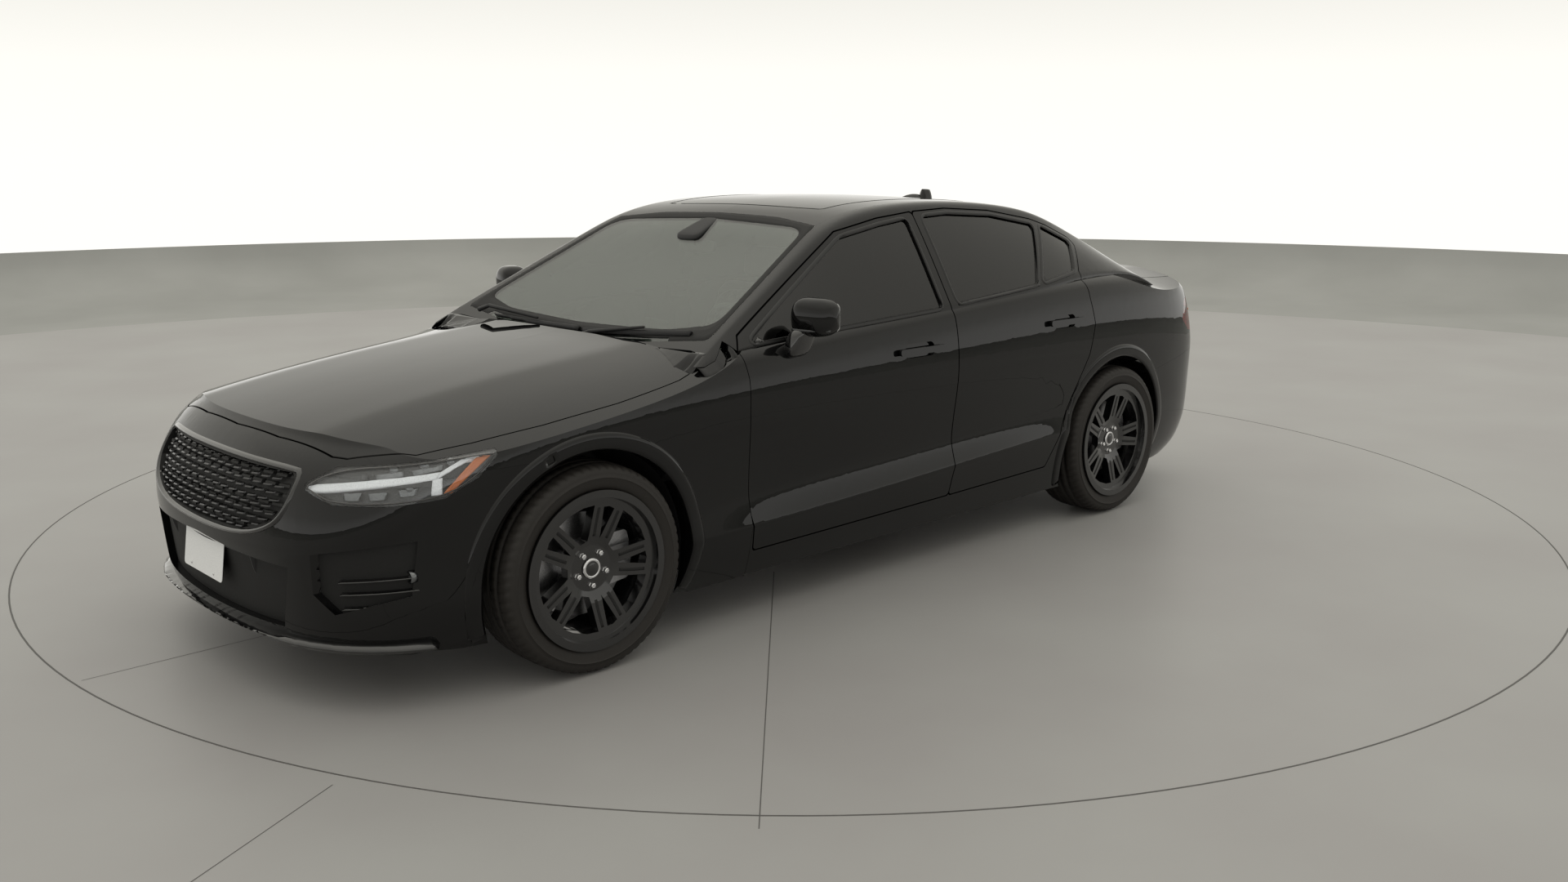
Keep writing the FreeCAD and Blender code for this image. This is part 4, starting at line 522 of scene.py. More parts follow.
rubber = plain_material("tyre_rubber", (0.0085, 0.0070, 0.0058), 0.66, 500, 0.20,
                        second=(0.015, 0.012, 0.0095))
seal_rubber = plain_material("seal_rubber", (0.006, 0.006, 0.006), 0.75, 800, 0.15)
leather = plain_material("charcoal_leather", (0.022, 0.021, 0.020), 0.46, 420, 0.45)
pipe_steel = plain_material("exhaust_steel", (0.30, 0.29, 0.28), 0.32, 60, 0.10,
                            second=(0.36, 0.33, 0.29), metallic=1.0)
white_plastic = plain_material("white_plate", (0.74, 0.75, 0.76), 0.42, 600, 0.04)
lamp_white = plain_material("lamp_white", (0.72, 0.73, 0.74), 0.30, 300, 0.03,
                            Emission_Color=(1, 1, 1, 1), Emission_Strength=0.10)
lamp_chrome = plain_material("lamp_chrome", (0.16, 0.165, 0.17), 0.16, 60, 0.10, metallic=1.0)
lamp_dark = plain_material("lamp_dark", (0.035, 0.036, 0.038), 0.25, 200, 0.10)
amber_glass = plain_material("amber_reflector", (0.62, 0.14, 0.015), 0.22, 900, 0.35,
                             second=(0.72, 0.20, 0.03), Coat_Weight=0.6)
mirror_silver = plain_material("mirror_silver", (0.75, 0.76, 0.77), 0.04, 20, 0.0, metallic=1.0)
screen_dark = plain_material("screen_dark", (0.004, 0.005, 0.006), 0.10, 800, 0.01)


def both(*names):
    return [name + side for name in names for side in ("_left", "_right")]


NODE_FINISH = {
    paint: both("body_side", "front_door", "rear_door")
    + ["front_fenders", "front_bumper", "rear_bumper", "hood", "boot_lid", "roof_panel"],
    deep_black: ["grille"],
    gloss_black: both("mirror", "wheel_front", "wheel_rear"),
    dark_glass: both("front_door_glass", "rear_door_glass") + ["rear_window"],
    roof_tint: ["roof_glass"],
    screen_glass: ["windshield"], lamp_glass: ["headlamps"], red_glass: ["tail_lamps"],
    black_plastic: ["cowl_panel", "wheel_liners", "dashboard"], undercoat: ["floor_pan"],
    cast_metal: both("knuckle") + ["front_axle", "rear_axle", "engine_block"],
    pipe_steel: ["exhaust"], leather: ["front_seats", "rear_bench", "steering_wheel"],
    rubber: both("tyre_front", "tyre_rear"),
}
for material, names in NODE_FINISH.items():
    for name in names:
        nodes[name].data.materials.clear()
        nodes[name].data.materials.append(material)


def recoloured(node, name, body, materials, choose):
    """Copy of a CAD node; choose gives each face's material from its centre."""
    source = nodes[node]
    mesh = source.data.copy()
    mesh.name = name
    mesh.transform(source.matrix_world)
    mesh.materials.clear()
    for material in materials:
        mesh.materials.append(material)
    for polygon in mesh.polygons:
        polygon.material_index = choose(polygon.center)
    finished(link(bpy.data.objects.new(name, mesh)), None, body, [node])


# Rays for the outside of the car
skin_left = Skin("body_side_left", "front_fenders", "front_bumper", "rear_bumper",
                 "front_door_left", "rear_door_left")
skin_lamp = Skin("headlamps")
skin_front = Skin("front_bumper", "hood", "front_fenders", "headlamps")
skin_screen = Skin("windshield")


# Wheel arches

ARCH_LIP_RADII = (0.3835, 0.436)
ARCH_LIP_DEGREES = (-24, 204)
ARCH_LIP_FOOT_Z = 0.175


def arch_lips():
    angles = np.radians(np.linspace(*ARCH_LIP_DEGREES, 111))

    def keep(found):
        return found[2] != "rear_door_left" and found[1].y > 0.25 and found[0].z > ARCH_LIP_FOOT_Z

    for label, axle_x in AXLES:
        edges = [[(axle_x + radius * math.cos(a), AXLE_Z + radius * math.sin(a)) for a in angles]
                 for radius in ARCH_LIP_RADII]
        lip = patch("arch_lip", skin_left.side, *edges,
                    [0.0052, 0.0060, 0.0060, 0.0056, 0.0048, 0.0004], sink=0.004, keep=keep)
        on_both(lip, "arch_lip_" + label, paint, "body")


# Side windows

def shares_xz(shares):
    return [(a * HALF_LENGTH, b * HEIGHT) for a, b in shares]


def shares_xy(shares):
    return [(a * HALF_LENGTH, b * HALF_WIDTH) for a, b in shares]


FRONT_WINDOW = shares_xz([(0.346, 0.681), (0.094, 0.9055), (0.000, 0.9315), (-0.069, 0.945),
                          (-0.069, 0.7155)])
REAR_WINDOW = shares_xz([(-0.110, 0.7225), (-0.110, 0.949), (-0.176, 0.954), (-0.294, 0.9435),
                         (-0.409, 0.912), (-0.332, 0.7505)])
QUARTER_WINDOW = shares_xz([(-0.430, 0.9065), (-0.502, 0.8555), (-0.4575, 0.778), (-0.351, 0.754)])
WINDOW_TRIM_GAP, WINDOW_TRIM_HALF = 0.008, 0.0065


def window_trims():
    for label, outline, door in (("front", FRONT_WINDOW, "front"), ("rear", REAR_WINDOW, "rear"),
                                 ("quarter", QUARTER_WINDOW, "rear")):
        path = relaxed(inward(resampled(outline, 160, True), -WINDOW_TRIM_GAP), 3)
        trim = strip("window_trim", Skin(door + "_door_left").side, path, WINDOW_TRIM_HALF,
                     [0.0003, 0.0022, 0.0026, 0.0022, 0.0003], 0.001, True, lambda f: f[1].y > 0.2)
        on_both(trim, "window_trim_" + label, satin_black, door + "_door_{}")
    for door, belt, count in (("front", [(0.80, 0.9755), (0.30, 1.0005), (-0.165, 1.0235)], 50),
                              ("rear", [(-0.262, 1.0285), (-0.60, 1.050), (-0.80, 1.070)], 40)):
        trim = band("belt", Skin(door + "_door_left").side, belt, 0.006, 0.004, count)
        on_both(trim, "belt_trim_" + door, satin_black, door + "_door_{}")


# Door mirrors

def mirrors():
    stations, ring = 26, 36
    vertices = []
    for t in np.linspace(0, 1, stations):
        size = max(max(1 - abs(2 * t - 1) ** 3.4, 0.0) ** 0.42, 0.02)
        centre = Vector((0.610 - 0.020 * t * t, 0.872 + 0.166 * t,
                         1.052 + 0.006 * t - 0.004 * t * t))
        rx = 0.066 * size * (1 - 0.14 * t)
        rz = 0.071 * size * (1 - 0.10 * t)
        for k in range(ring):
            a = 2 * math.pi * k / ring
            ca, sa = math.cos(a), math.sin(a)
            x = math.copysign(abs(ca) ** 0.72, ca) * rx
            z = math.copysign(abs(sa) ** 0.80, sa) * rz
            x = max(x, -0.048 * (1 - 0.14 * t) * min(size * 1.1, 1))
            vertices.append(centre + Vector((x, 0, z)))
    faces = [face[::-1] for face in loft_faces(stations, ring)]
    on_both(mesh_object("mirror_shell", vertices, faces), "mirror_shell", paint, "front_door_{}",
            "mirror_{}")
    glass = rounded_slab("mirror_face", 0.128, 0.102, 0.004, 0.024,
                         Matrix.Translation((0.5585, 0.958, 1.052))
                         @ Matrix.Rotation(math.radians(-90), 4, "Y")
                         @ Matrix.Rotation(math.radians(90), 4, "Z"))
    on_both(glass, "mirror_face", mirror_silver, "front_door_{}")
    foot = superbox("mirror_foot", (0.640, 0.912, 0.968), (0.052, 0.034, 0.052), 3.2,
                    squeeze=lambda p: Vector((p.x - 0.25 * p.z, p.y + 0.25 * p.z, p.z)))
    on_both(foot, "mirror_foot", gloss_black, "front_door_{}")
    sail = patch("sail", Skin("front_door_left").side,
                 resampled([(0.800, 0.972), (0.790, 0.986), (0.640, 1.050)], 24),
                 resampled([(0.800, 0.968), (0.700, 0.972), (0.560, 0.983)], 24),
                 [0.0005, 0.003, 0.003, 0.0005], 0.001)
    on_both(sail, "mirror_sail", gloss_black, "front_door_{}")
    signal = [(0.665 - 0.058 * t ** 3, 0.900 + 0.128 * t, 1.012) for t in np.linspace(0, 1, 16)]
    on_both(tube("signal", signal, 0.0045, 8), "mirror_signal", lamp_dark, "front_door_{}")


# Lamps

LENS_THICKNESS = 0.011


def lamp_shape(name, left_edge, right_edge, depth, thickness, material, count, rows):
    obj = patch(name, skin_lamp.corner, resampled(left_edge, count), resampled(right_edge, count),
                [-depth] * rows, depth + thickness)
    on_both(obj, name, material, "body")


def headlamps():
    root = math.sqrt(0.5)

    def choose(centre):
        y = abs(centre.y)
        found = skin_lamp.corner((centre.x - y) * root, centre.z)
        if found is None:
            return 0
        outer = (found[0].x + found[0].y) * root
        return 0 if outer - (centre.x + y) * root < LENS_THICKNESS else 1

    recoloured("headlamps", "headlamp_units", "body", [lamp_glass, lamp_dark], choose)
    lamp_shape("lamp_bar", [(1.228, 0.662), (1.179, 0.676), (0.983, 0.700), (0.812, 0.717)],
               [(1.228, 0.651), (1.174, 0.655), (0.980, 0.680), (0.822, 0.697)], 0.0075, 0.012,
               lamp_white, 60, 5)
    lamp_shape("lamp_bar_upper", [(0.812, 0.717), (0.752, 0.752)], [(0.822, 0.697), (0.718, 0.755)],
               0.0080, 0.012, lamp_white, 16, 5)
    lamp_shape("lamp_bar_lower", [(0.833, 0.697), (0.834, 0.650)], [(0.806, 0.700), (0.806, 0.650)],
               0.0080, 0.012, lamp_white, 16, 5)
    lamp_shape("lamp_amber", [(0.718, 0.753), (0.803, 0.652)], [(0.684, 0.750), (0.783, 0.652)],
               0.0070, 0.010, amber_glass, 20, 6)
    edges = [(1.125, 0.705), (1.01, 0.716), (0.90, 0.728), (0.79, 0.742)]
    for i, (a, b) in enumerate(zip(edges, edges[1:])):
        lamp_shape("lamp_cell_upper_%d" % i, [a, (a[0] - 0.012, a[1] - 0.016)],
                   [(b[0] + 0.02, b[1]), (b[0] + 0.02, b[1] - 0.016)], 0.016, 0.012,
                   lamp_chrome if i else lamp_dark, 10, 6)
    for i, (s, z) in enumerate(((1.07, 0.652), (0.99, 0.655), (0.90, 0.664))):
        lamp_shape("lamp_cell_lower_%d" % i, [(s + 0.030, z + 0.010), (s + 0.022, z - 0.012)],
                   [(s - 0.030, z + 0.014), (s - 0.022, z - 0.010)], 0.016, 0.012,
                   lamp_chrome, 10, 6)
    outward, setback = Vector((0.80, 0.55, 0)), 0.024
    turn = Vector((1, 0, 0)).rotation_difference(outward.normalized()).to_matrix().to_4x4()
    for i, (s, z, r) in enumerate(((0.955, 0.7155, 0.013), (0.87, 0.727, 0.014),
                                   (0.80, 0.735, 0.013), (0.905, 0.668, 0.012))):
        found = skin_lamp.corner(s, z)
        if found is None:
            continue
        profile = [(-0.006, 0.0), (-0.006, r * 1.15), (0.0, r * 1.15), (0.001, r),
                   (0.004, r * 0.85), (0.007, r * 0.5), (0.008, 0.0)]
        obj = revolved("projector", profile, (0, 0, 0), "X", 28)
        obj.data.transform(Matrix.Translation(found[0] - outward * setback) @ turn)
        on_both(obj, "lamp_projector_%d" % i, lamp_chrome, "body")


def lamp_surrounds():
    outline = [(1.2347, 0.6625), (1.120, 0.7212), (0.900, 0.7413), (0.680, 0.7641),
               (0.6642, 0.7513), (0.7142, 0.6897), (0.800, 0.6397), (0.950, 0.6261),
               (1.120, 0.6239), (1.170, 0.6397)]
    edge = inward(smooth_ring(outline, 2, 120), 0.005)
    rim = patch("rim", skin_lamp.corner, edge, inward(edge, 0.004), [0.0004, 0.0008, 0.0004],
                0.001, True)
    on_both(rim, "lamp_surround", gloss_black, "body")


# Grille, intake and plate

def fitted_nose():
    """Smooth x of the nose over the grille from the panels round it."""
    def terms(y, z):
        return [1, y * y, y ** 4, z, z * z, z * y * y]

    rows, values = [], []
    for y in np.linspace(-0.66, 0.66, 60):
        for z in np.linspace(0.40, 0.74, 44):
            found = skin_front.front(y, z)
            if found and found[2] == "front_bumper" and found[1].x > 0.6 and found[0].x > 2.1:
                rows.append(terms(y, z))
                values.append(found[0].x)
    answer = np.linalg.lstsq(np.array(rows), np.array(values), rcond=None)[0]
    return lambda y, z: (Vector((float(np.dot(terms(y, z), answer)), y, z)), Vector((1, 0, 0)),
                         "nose")


nose = fitted_nose()


def grille():
    bm = bmesh.new()
    pitch, half, rise, setback = 0.0565, 0.0195, 0.0030, 0.0135
    wide, narrow_below = 0.462, 0.57
    for row, z in enumerate(np.linspace(0.516, 0.686, 10)):
        reach = wide - max(narrow_below - z, 0) * 1.9
        for column in range(-9, 10):
            y = pitch * (column + 0.5 * (row % 2))
            if abs(y) + 0.020 > reach:
                continue
            ring = []
            for u, v, out in ((-1, -1, 0), (1, -1, 0), (1, 1, 0), (-1, 1, 0), (-0.9, -0.55, 0.0070),
                              (0.9, -0.55, 0.0070), (0.9, 0.75, 0.0055), (-0.9, 0.75, 0.0055)):
                place = nose(y + u * half, z + v * rise)[0]
                ring.append(bm.verts.new((place.x - setback + out, place.y, place.z + u * 0.0015)))
            for face in ((0, 1, 5, 4), (1, 2, 6, 5), (2, 3, 7, 6), (3, 0, 4, 7), (4, 5, 6, 7),
                         (3, 2, 1, 0)):
                bm.faces.new([ring[i] for i in face])
    finished(from_bmesh("grille_dashes", bm, False), dash_metal, "body")
    outline = [(0.47, 0.706), (0.50, 0.690), (0.502, 0.604), (0.458, 0.542), (0.306, 0.498),
               (0.0, 0.488)]
    outline += [(-y, z) for y, z in reversed(outline[:-1])]
    rim = strip("grille_frame", nose, smooth_ring(outline, 2, 160), 0.009,
                [-0.004, 0.006, 0.009, 0.006, -0.004], 0.014, True)
    finished(rim, gloss_black, "body")


def intake():
    for i, (z, reach) in enumerate(((0.425, 0.47), (0.375, 0.45), (0.325, 0.43), (0.275, 0.42))):
        slat = strip("intake_slat_%d" % i, nose, straight((-reach, z), (reach, z), 49), 0.006,
                     [-0.030, -0.016, -0.016, -0.030], 0.050)
        finished(slat, black_plastic, "body")
    for i, sign in enumerate((-1, 1)):
        path = straight((0.30 * sign, 0.245), (0.32 * sign, 0.435), 13)
        rib = strip("intake_rib_%d" % i, nose, path, 0.007, [-0.024, -0.012, -0.012, -0.024], 0.050)
        finished(rib, black_plastic, "body")
    skin = Skin("front_bumper")

    def edge(y, z):
        found = skin.front(y, min(z, 0.212)) or skin.front(y, 0.20)
        return found if found and found[0].x > 1.9 else nose(y, z)

    path = [(-0.80, 0.205), (-0.46, 0.208), (-0.37, 0.228), (0.0, 0.232), (0.37, 0.228),
            (0.46, 0.208), (0.80, 0.205)]
    splitter = strip("front_splitter", edge, resampled(path, 90), 0.011,
                     [0.001, 0.024, 0.032, 0.028, 0.001], 0.006)
    finished(splitter, gloss_black, "body")
    vent = Skin("grille").front
    for i, z in enumerate((0.318, 0.362, 0.400)):
        fin = strip("fin", vent, straight((0.655, z), (0.845, z + 0.020), 25), 0.004,
                    [0.004, 0.016, 0.018, 0.004])
        on_both(fin, "vent_fin_%d" % i, gloss_black, "body")
    profile = [(-0.004, 0.0), (-0.004, 0.020), (0.012, 0.020), (0.016, 0.017), (0.014, 0.014),
               (0.010, 0.010), (0.009, 0.0)]
    sensor = revolved("sensor", profile, vent(0.80, 0.415)[0], "X", 28)
    on_both(sensor, "front_sensor", lamp_chrome, "body")


def plates():
    lean = math.radians(8)
    place = (Matrix.Translation((2.3605, 0, 0.384)) @ Matrix.Rotation(math.radians(90), 4, "Z")
             @ Matrix.Rotation(math.radians(90) - lean, 4, "X"))
    plate = rounded_slab("front_plate", 0.305, 0.152, 0.0025, 0.012, place)
    finished(plate, white_plastic, "body")
    holder = rounded_slab("front_plate_holder", 0.240, 0.110, 0.016, 0.010,
                          place @ Matrix.Translation((0, 0, -0.0165)))
    finished(holder, black_plastic, "body")
    for i, (u, v) in enumerate((u, v) for v in (0.060, -0.060) for u in (-0.089, 0.089)):
        screw = superbox("plate_screw_%d" % i, (0, 0, 0), (0.005, 0.005, 0.0022), 2.2, 8, 14)
        screw.data.transform(place @ Matrix.Translation((u, v, 0.003)))
        finished(screw, bright_metal, "body")
    x = Skin("boot_lid", "rear_bumper").back(0, 0.80)[0].x
    rear = rounded_slab("rear_plate", 0.305, 0.152, 0.0025, 0.012,
                        Matrix.Translation((x - 0.001, 0, 0.80))
                        @ Matrix.Rotation(math.radians(-90), 4, "Z")
                        @ Matrix.Rotation(math.radians(90 + 6), 4, "X"))
    finished(rear, white_plastic, "boot_lid")


# Wheels and tyres

DISC_RADIUS, DISC_DEPTH = 0.1695, 0.0405
BOLT_CIRCLE = 0.055


def joined(name, pieces, smooth=True):
    """One piece from several, each of which is removed."""
    bm = bmesh.new()
    for piece in pieces:
        bm.from_mesh(piece.data)
        bpy.data.objects.remove(piece)
    return from_bmesh(name, bm, smooth)


def painted_spoke_groove(skin, axle_x, number):
    """Painted groove shade, a dark strip parting a spoke in two; every second one leans the other
    way.
    """
    start, lean = (13.5, -2.5) if number % 2 else (22.5, 2.5)
    turns = np.radians(36 * number + np.linspace(start, start + lean, 13))
    path = [(axle_x + r * math.cos(a), AXLE_Z + r * math.sin(a))
            for r, a in zip(np.linspace(0.104, 0.196, 13), turns)]
    return band("groove", skin.side, path, 0.0052, 0.0006, 13, 0, 0.001)


def wheel_bolt(axle_x, face, number):
    a = math.radians(126 + 72 * number)
    centre = (axle_x + BOLT_CIRCLE * math.cos(a), face, AXLE_Z + BOLT_CIRCLE * math.sin(a))
    return revolved("bolt", [(-0.008, 0.0), (-0.008, 0.011), (0.001, 0.011), (0.003, 0.0095),
                             (0.012, 0.0088), (0.014, 0.0065), (0.011, 0.005), (0.011, 0.0)],
                    centre, "Y", 6)


def wheels():
    for end, axle_x in AXLES:
        def is_disc(centre):
            radius = math.hypot(centre.x - axle_x, centre.z - AXLE_Z)
            depth = DISC_DEPTH - (0 if radius > 0.09 else 0.002)
            return 1 if radius < DISC_RADIUS and abs(centre.y) - WHEEL_Y < depth else 0

        for side, _ in SIDES:
            name = "wheel_%s_%s" % (end, side)
            recoloured(name, name + "_finish", name, [wheel_black, brushed], is_disc)
        skin = Skin("wheel_%s_left" % end)
        face = skin.side(axle_x + 0.050, AXLE_Z + 0.012)[0].y
        cap = revolved("cap", [(-0.010, 0.0), (-0.010, 0.0335), (0.004, 0.0335), (0.008, 0.030),
                               (0.008, 0.026), (0.0065, 0.024), (0.009, 0.018), (0.011, 0.0)],
                       (axle_x, face, AXLE_Z), "Y", 48)
        cap.data.materials.append(wheel_black)
        cap.data.materials.append(bright_metal)
        for polygon in cap.data.polygons:
            c = polygon.center
            r = math.hypot(c.x - axle_x, c.z - AXLE_Z)
            polygon.material_index = 1 if 0.0245 < r < 0.0325 and c.y > face + 0.003 else 0
        body = "wheel_" + end + "_{}"
        on_both(cap, "hub_cap_" + end, wheel_black, body)
        # Dark matte strips laid on the spokes are painted shade for the grooves between each
        # spoke's two ribs
        grooves = joined("grooves", (painted_spoke_groove(skin, axle_x, k) for k in range(10)))
        on_both(grooves, "painted_spoke_grooves_" + end, deep_black, body)
        bolts = joined("bolts", (wheel_bolt(axle_x, face, k) for k in range(5)), False)
        on_both(bolts, "wheel_bolts_" + end, bright_metal, body)


TYRE_PROFILE = [
    (0.092, 0.2500), (0.104, 0.2560), (0.1085, 0.2640), (0.1120, 0.2780), (0.1150, 0.2900),
    (0.1158, 0.2925), (0.1166, 0.2930), (0.1166, 0.2950), (0.1155, 0.2955), (0.1150, 0.3060),
    (0.1120, 0.3160), (0.1060, 0.3240), (0.0980, 0.3285), (0.0900, 0.3307), (0.0780, 0.3324),
    (0.0660, 0.3334), (0.0650, 0.3266), (0.0560, 0.3266), (0.0550, 0.3340), (0.0400, 0.3347),
    (0.0270, 0.3349), (0.0260, 0.3278), (0.0170, 0.3278), (0.0160, 0.3350), (0.0080, 0.3350),
    (0.0, 0.3350),
]
TREAD_PITCHES, SHOULDER_CUT, CENTRE_CUT = 66, 0.0050, 0.0040


def tyres():
    segments = 4 * TREAD_PITCHES
    profile = TYRE_PROFILE + [(-a, r) for a, r in reversed(TYRE_PROFILE[:-1])]
    count = len(profile)
    vertices, faces = [], []
    for s in range(segments):
        for along, radius in profile:
            r = radius
            if s % 4 == 0 and 0.068 < abs(along) < 0.108 and radius > 0.318:
                r -= SHOULDER_CUT
            if s % 4 == 2 and 0.028 < abs(along) < 0.053 and radius > 0.33:
                r -= CENTRE_CUT
            turn = 2 * math.pi * s / segments + along
            vertices.append((r * math.cos(turn), along, r * math.sin(turn)))
    for s in range(segments):
        t = (s + 1) % segments
        for i in range(count - 1):
            faces.append((s * count + i, s * count + i + 1, t * count + i + 1, t * count + i))
        faces.append((s * count + count - 1, s * count, t * count, t * count + count - 1))
    for end, axle_x in AXLES:
        for side, sign in SIDES:
            name = "tyre_%s_%s" % (end, side)
            obj = solid(name + "_tread", vertices, faces)
            obj.data.transform(Matrix.Translation((axle_x, sign * WHEEL_Y, AXLE_Z)))
            finished(obj, rubber, "wheel_%s_%s" % (end, side), [name])


def brakes():
    """Caliper bodies take a lighter finish than the knuckles."""
    def is_caliper(centre):
        radius = math.hypot(centre.x - FRONT_X, centre.z - AXLE_Z)
        return 1 if radius > 0.095 and centre.x < FRONT_X else 0

    for name in both("knuckle"):
        recoloured(name, name + "_finish", name, [cast_metal, caliper_silver], is_caliper)


# Roof, screen and cowl

def roof_pieces():
    skin = Skin("roof_panel", "roof_glass")
    vertices = []
    stations, ring, root = 20, 20, 0.004
    for t in np.linspace(0, 1, stations):
        x = -0.895 - 0.205 * t
        height = 0.044 * math.sin(math.pi * (t * 0.62 + 0.02)) ** 0.8
        width = 0.030 * (1 - 0.55 * t) * min(1.0, 0.35 + 2.5 * t)
        found = skin.top(x, 0.0)
        base = found[0].z if found else 1.40
        for k in range(ring):
            a = math.pi * k / (ring - 1)
            ca, sa = math.cos(a), math.sin(a)
            vertices.append((x, math.copysign(abs(ca) ** 1.4, ca) * width * (1.25 - 0.25 * sa),
                             base - root + (height + root) * sa ** 1.15))
    finished(solid("roof_fin", vertices, loft_faces(stations, ring)), paint, "body")
    outline = [(0.100, 0.0), (0.098, 0.46), (0.070, 0.475), (-0.760, 0.475), (-0.790, 0.45),
               (-0.792, 0.0)]
    outline += [(x, -y) for x, y in reversed(outline[1:-1])]
    seal = strip("roof_glass_seal", skin.top, smooth_ring(outline, 1, 160), 0.005,
                 [0.0002, 0.0012, 0.0002], 0.001, True)
    finished(seal, seal_rubber, "body")


def hood_corners():
    """Rear corners of the hood, out to the feet of the windshield pillars."""
    skin = Skin("hood", "body_side_left", "front_fenders")
    columns, rows = 30, 9
    top, low = [], []
    back, overlap, corner_y, thickness = 0.9895, 0.010, 0.795, 0.004
    for y in np.linspace(0.580, 0.826, columns):
        behind = skin.top(back - 0.008, y)
        x = 1.000
        while x < 1.14:
            found = skin.top(x, y)
            if found and found[2] == "hood" and found[1].z > 0.9:
                beyond = skin.top(x + 0.012, y)
                if beyond and abs(beyond[0].z - found[0].z) < 0.006:
                    break
            x += 0.002
        if y > corner_y:
            x = 1.076 - (y - corner_y) * 0.9
        front = skin.top(x + overlap, y)
        ahead = x + overlap if y <= corner_y else x
        z0 = behind[0].z - 0.003
        z1 = (front[0].z if front else z0 - 0.05) + 0.0006
        reach = ahead - back
        for t in np.linspace(0, 1, rows):
            z = ((1 + 2 * t) * (1 - t) ** 2 * z0 + t * (1 - t) ** 2 * reach * -0.45
                 + t * t * (3 - 2 * t) * z1 + t * t * (t - 1) * reach * -0.20)
            if t == 1:
                z -= 0.003
            top.append((back + reach * t, y, z))
            low.append((back + reach * t, y, z - thickness))
    count = columns * rows
    faces = []
    for i in range(columns - 1):
        for j in range(rows - 1):
            a, b, c, d = i * rows + j, i * rows + j + 1, (i + 1) * rows + j + 1, (i + 1) * rows + j
            faces += [(a, b, c, d), (count + d, count + c, count + b, count + a)]
    rim = ([i * rows for i in range(columns)] + [(columns - 1) * rows + j for j in range(1, rows)]
           + [i * rows + rows - 1 for i in range(columns - 2, -1, -1)]
           + list(range(rows - 2, 0, -1)))
    for a, b in zip(rim, rim[1:] + rim[:1]):
        faces.append((a, b, count + b, count + a))
    on_both(solid("hood_corner", top + low, faces), "hood_corner", paint, "hood")


def pillar_feet():
    """Soft turn from the foot of each windshield pillar down to the fender."""
    skin = Skin("body_side_left", "front_fenders")
    across, reach, proud = 9, 0.040, 0.0008
    bm = bmesh.new()
    layers = []
    for x in np.linspace(0.893, 1.060, 32):
        edge = None
        y = 0.760
        while y < 0.900:
            found = skin.top(x, y)
            if found and found[2] == "body_side_left" and found[0].z > 0.915:
                edge = found[0]
            y += 0.002
        if edge is None:
            continue
        foot = skin.top(x, edge.y + reach)
        if foot is None:
            continue
        start, end = Vector((x, edge.y - 0.006, edge.z + proud)), foot[0] + Vector((0, 0, proud))
        bend = Vector((x, edge.y + reach * 0.42, max(end.z + 0.010, start.z - 0.012)))
        layer = []
        for j in range(across):
            t = j / (across - 1)
            place = start * (1 - t) ** 2 + bend * (2 * t * (1 - t)) + end * t * t
            if j in (0, across - 1):
                place.z -= 0.003
            layer.append((bm.verts.new(place), bm.verts.new(place - Vector((0, 0, 0.005)))))
        layers.append(layer)
    for a, b in zip(layers, layers[1:]):
        for j in range(across - 1):
            bm.faces.new((a[j][0], a[j + 1][0], b[j + 1][0], b[j][0]))
            bm.faces.new((b[j][1], b[j + 1][1], a[j + 1][1], a[j][1]))
        for j in (0, across - 1):
            bm.faces.new((a[j][0], b[j][0], b[j][1], a[j][1]))
    for layer in (layers[0], layers[-1]):
        for j in range(across - 1):
            bm.faces.new((layer[j][0], layer[j][1], layer[j + 1][1], layer[j + 1][0]))
    on_both(from_bmesh("pillar_foot", bm), "pillar_foot", paint, "body")


def screen_pieces():
    glass = shares_xy([(0.4110, 0.0), (0.4050, 0.540), (0.3915, 0.824), (0.3775, 0.824),
                       (0.1085, 0.649), (0.0905, 0.380), (0.0870, 0.0)])
    clear = shares_xy([(0.3840, 0.0), (0.3780, 0.540), (0.3600, 0.762), (0.3450, 0.770),
                       (0.1330, 0.632), (0.1180, 0.560), (0.1080, 0.0)])
    outer, inner = [resampled(half + [(x, -y) for x, y in reversed(half[1:-1])], 240, True)
                    for half in (glass, clear)]
    border = patch("screen_border", skin_screen.top, outer, relaxed(inner, 6),
                   [0.0002, 0.0004, 0.0004, 0.0002], 0.0003, True)
    finished(border, seal_rubber, "body")
    box = superbox("camera_housing", (0.320, 0.0, 1.308), (0.072, 0.060, 0.014), 5.0,
                   squeeze=lambda p: Vector((p.x, p.y * (1 + p.x * 3.0), p.z - p.x * 0.46)))
    finished(box, black_plastic, "body")
    inner = superbox("inner_mirror", (0.330, 0.0, 1.240), (0.012, 0.110, 0.028), 3.5)
    finished(inner, black_plastic, "body")
    stem = tube("inner_mirror_stem", [(0.336, 0, 1.245), (0.346, 0, 1.290)], 0.008)
    finished(stem, black_plastic, "body")


    def on_screen(x, y):
        found = skin_screen.top(x, y)
        return found[0] if found else Vector((x, y, 1.0))

    for i, (start, end) in enumerate((((0.965, -0.58), (0.955, 0.06)),
                                      ((0.962, 0.10), (0.912, 0.66)))):
        path = straight(start, end, 31)
        blade = strip("wiper_blade_%d" % i, skin_screen.top, path, 0.009,
                      [0.004, 0.015, 0.018, 0.012, 0.004], -0.002)
        finished(blade, black_plastic, "body")
        base = on_screen(*start) + Vector((0.03, 0, -0.012))
        tip = on_screen(*path[18]) + Vector((0.012, 0, 0.026))
        arm = tube("wiper_arm_%d" % i, [base, base + Vector((-0.01, 0.06, 0.020)), tip],
                   [0.010, 0.008, 0.005])
        finished(arm, black_plastic, "body")


# Rear lamps and rear trim

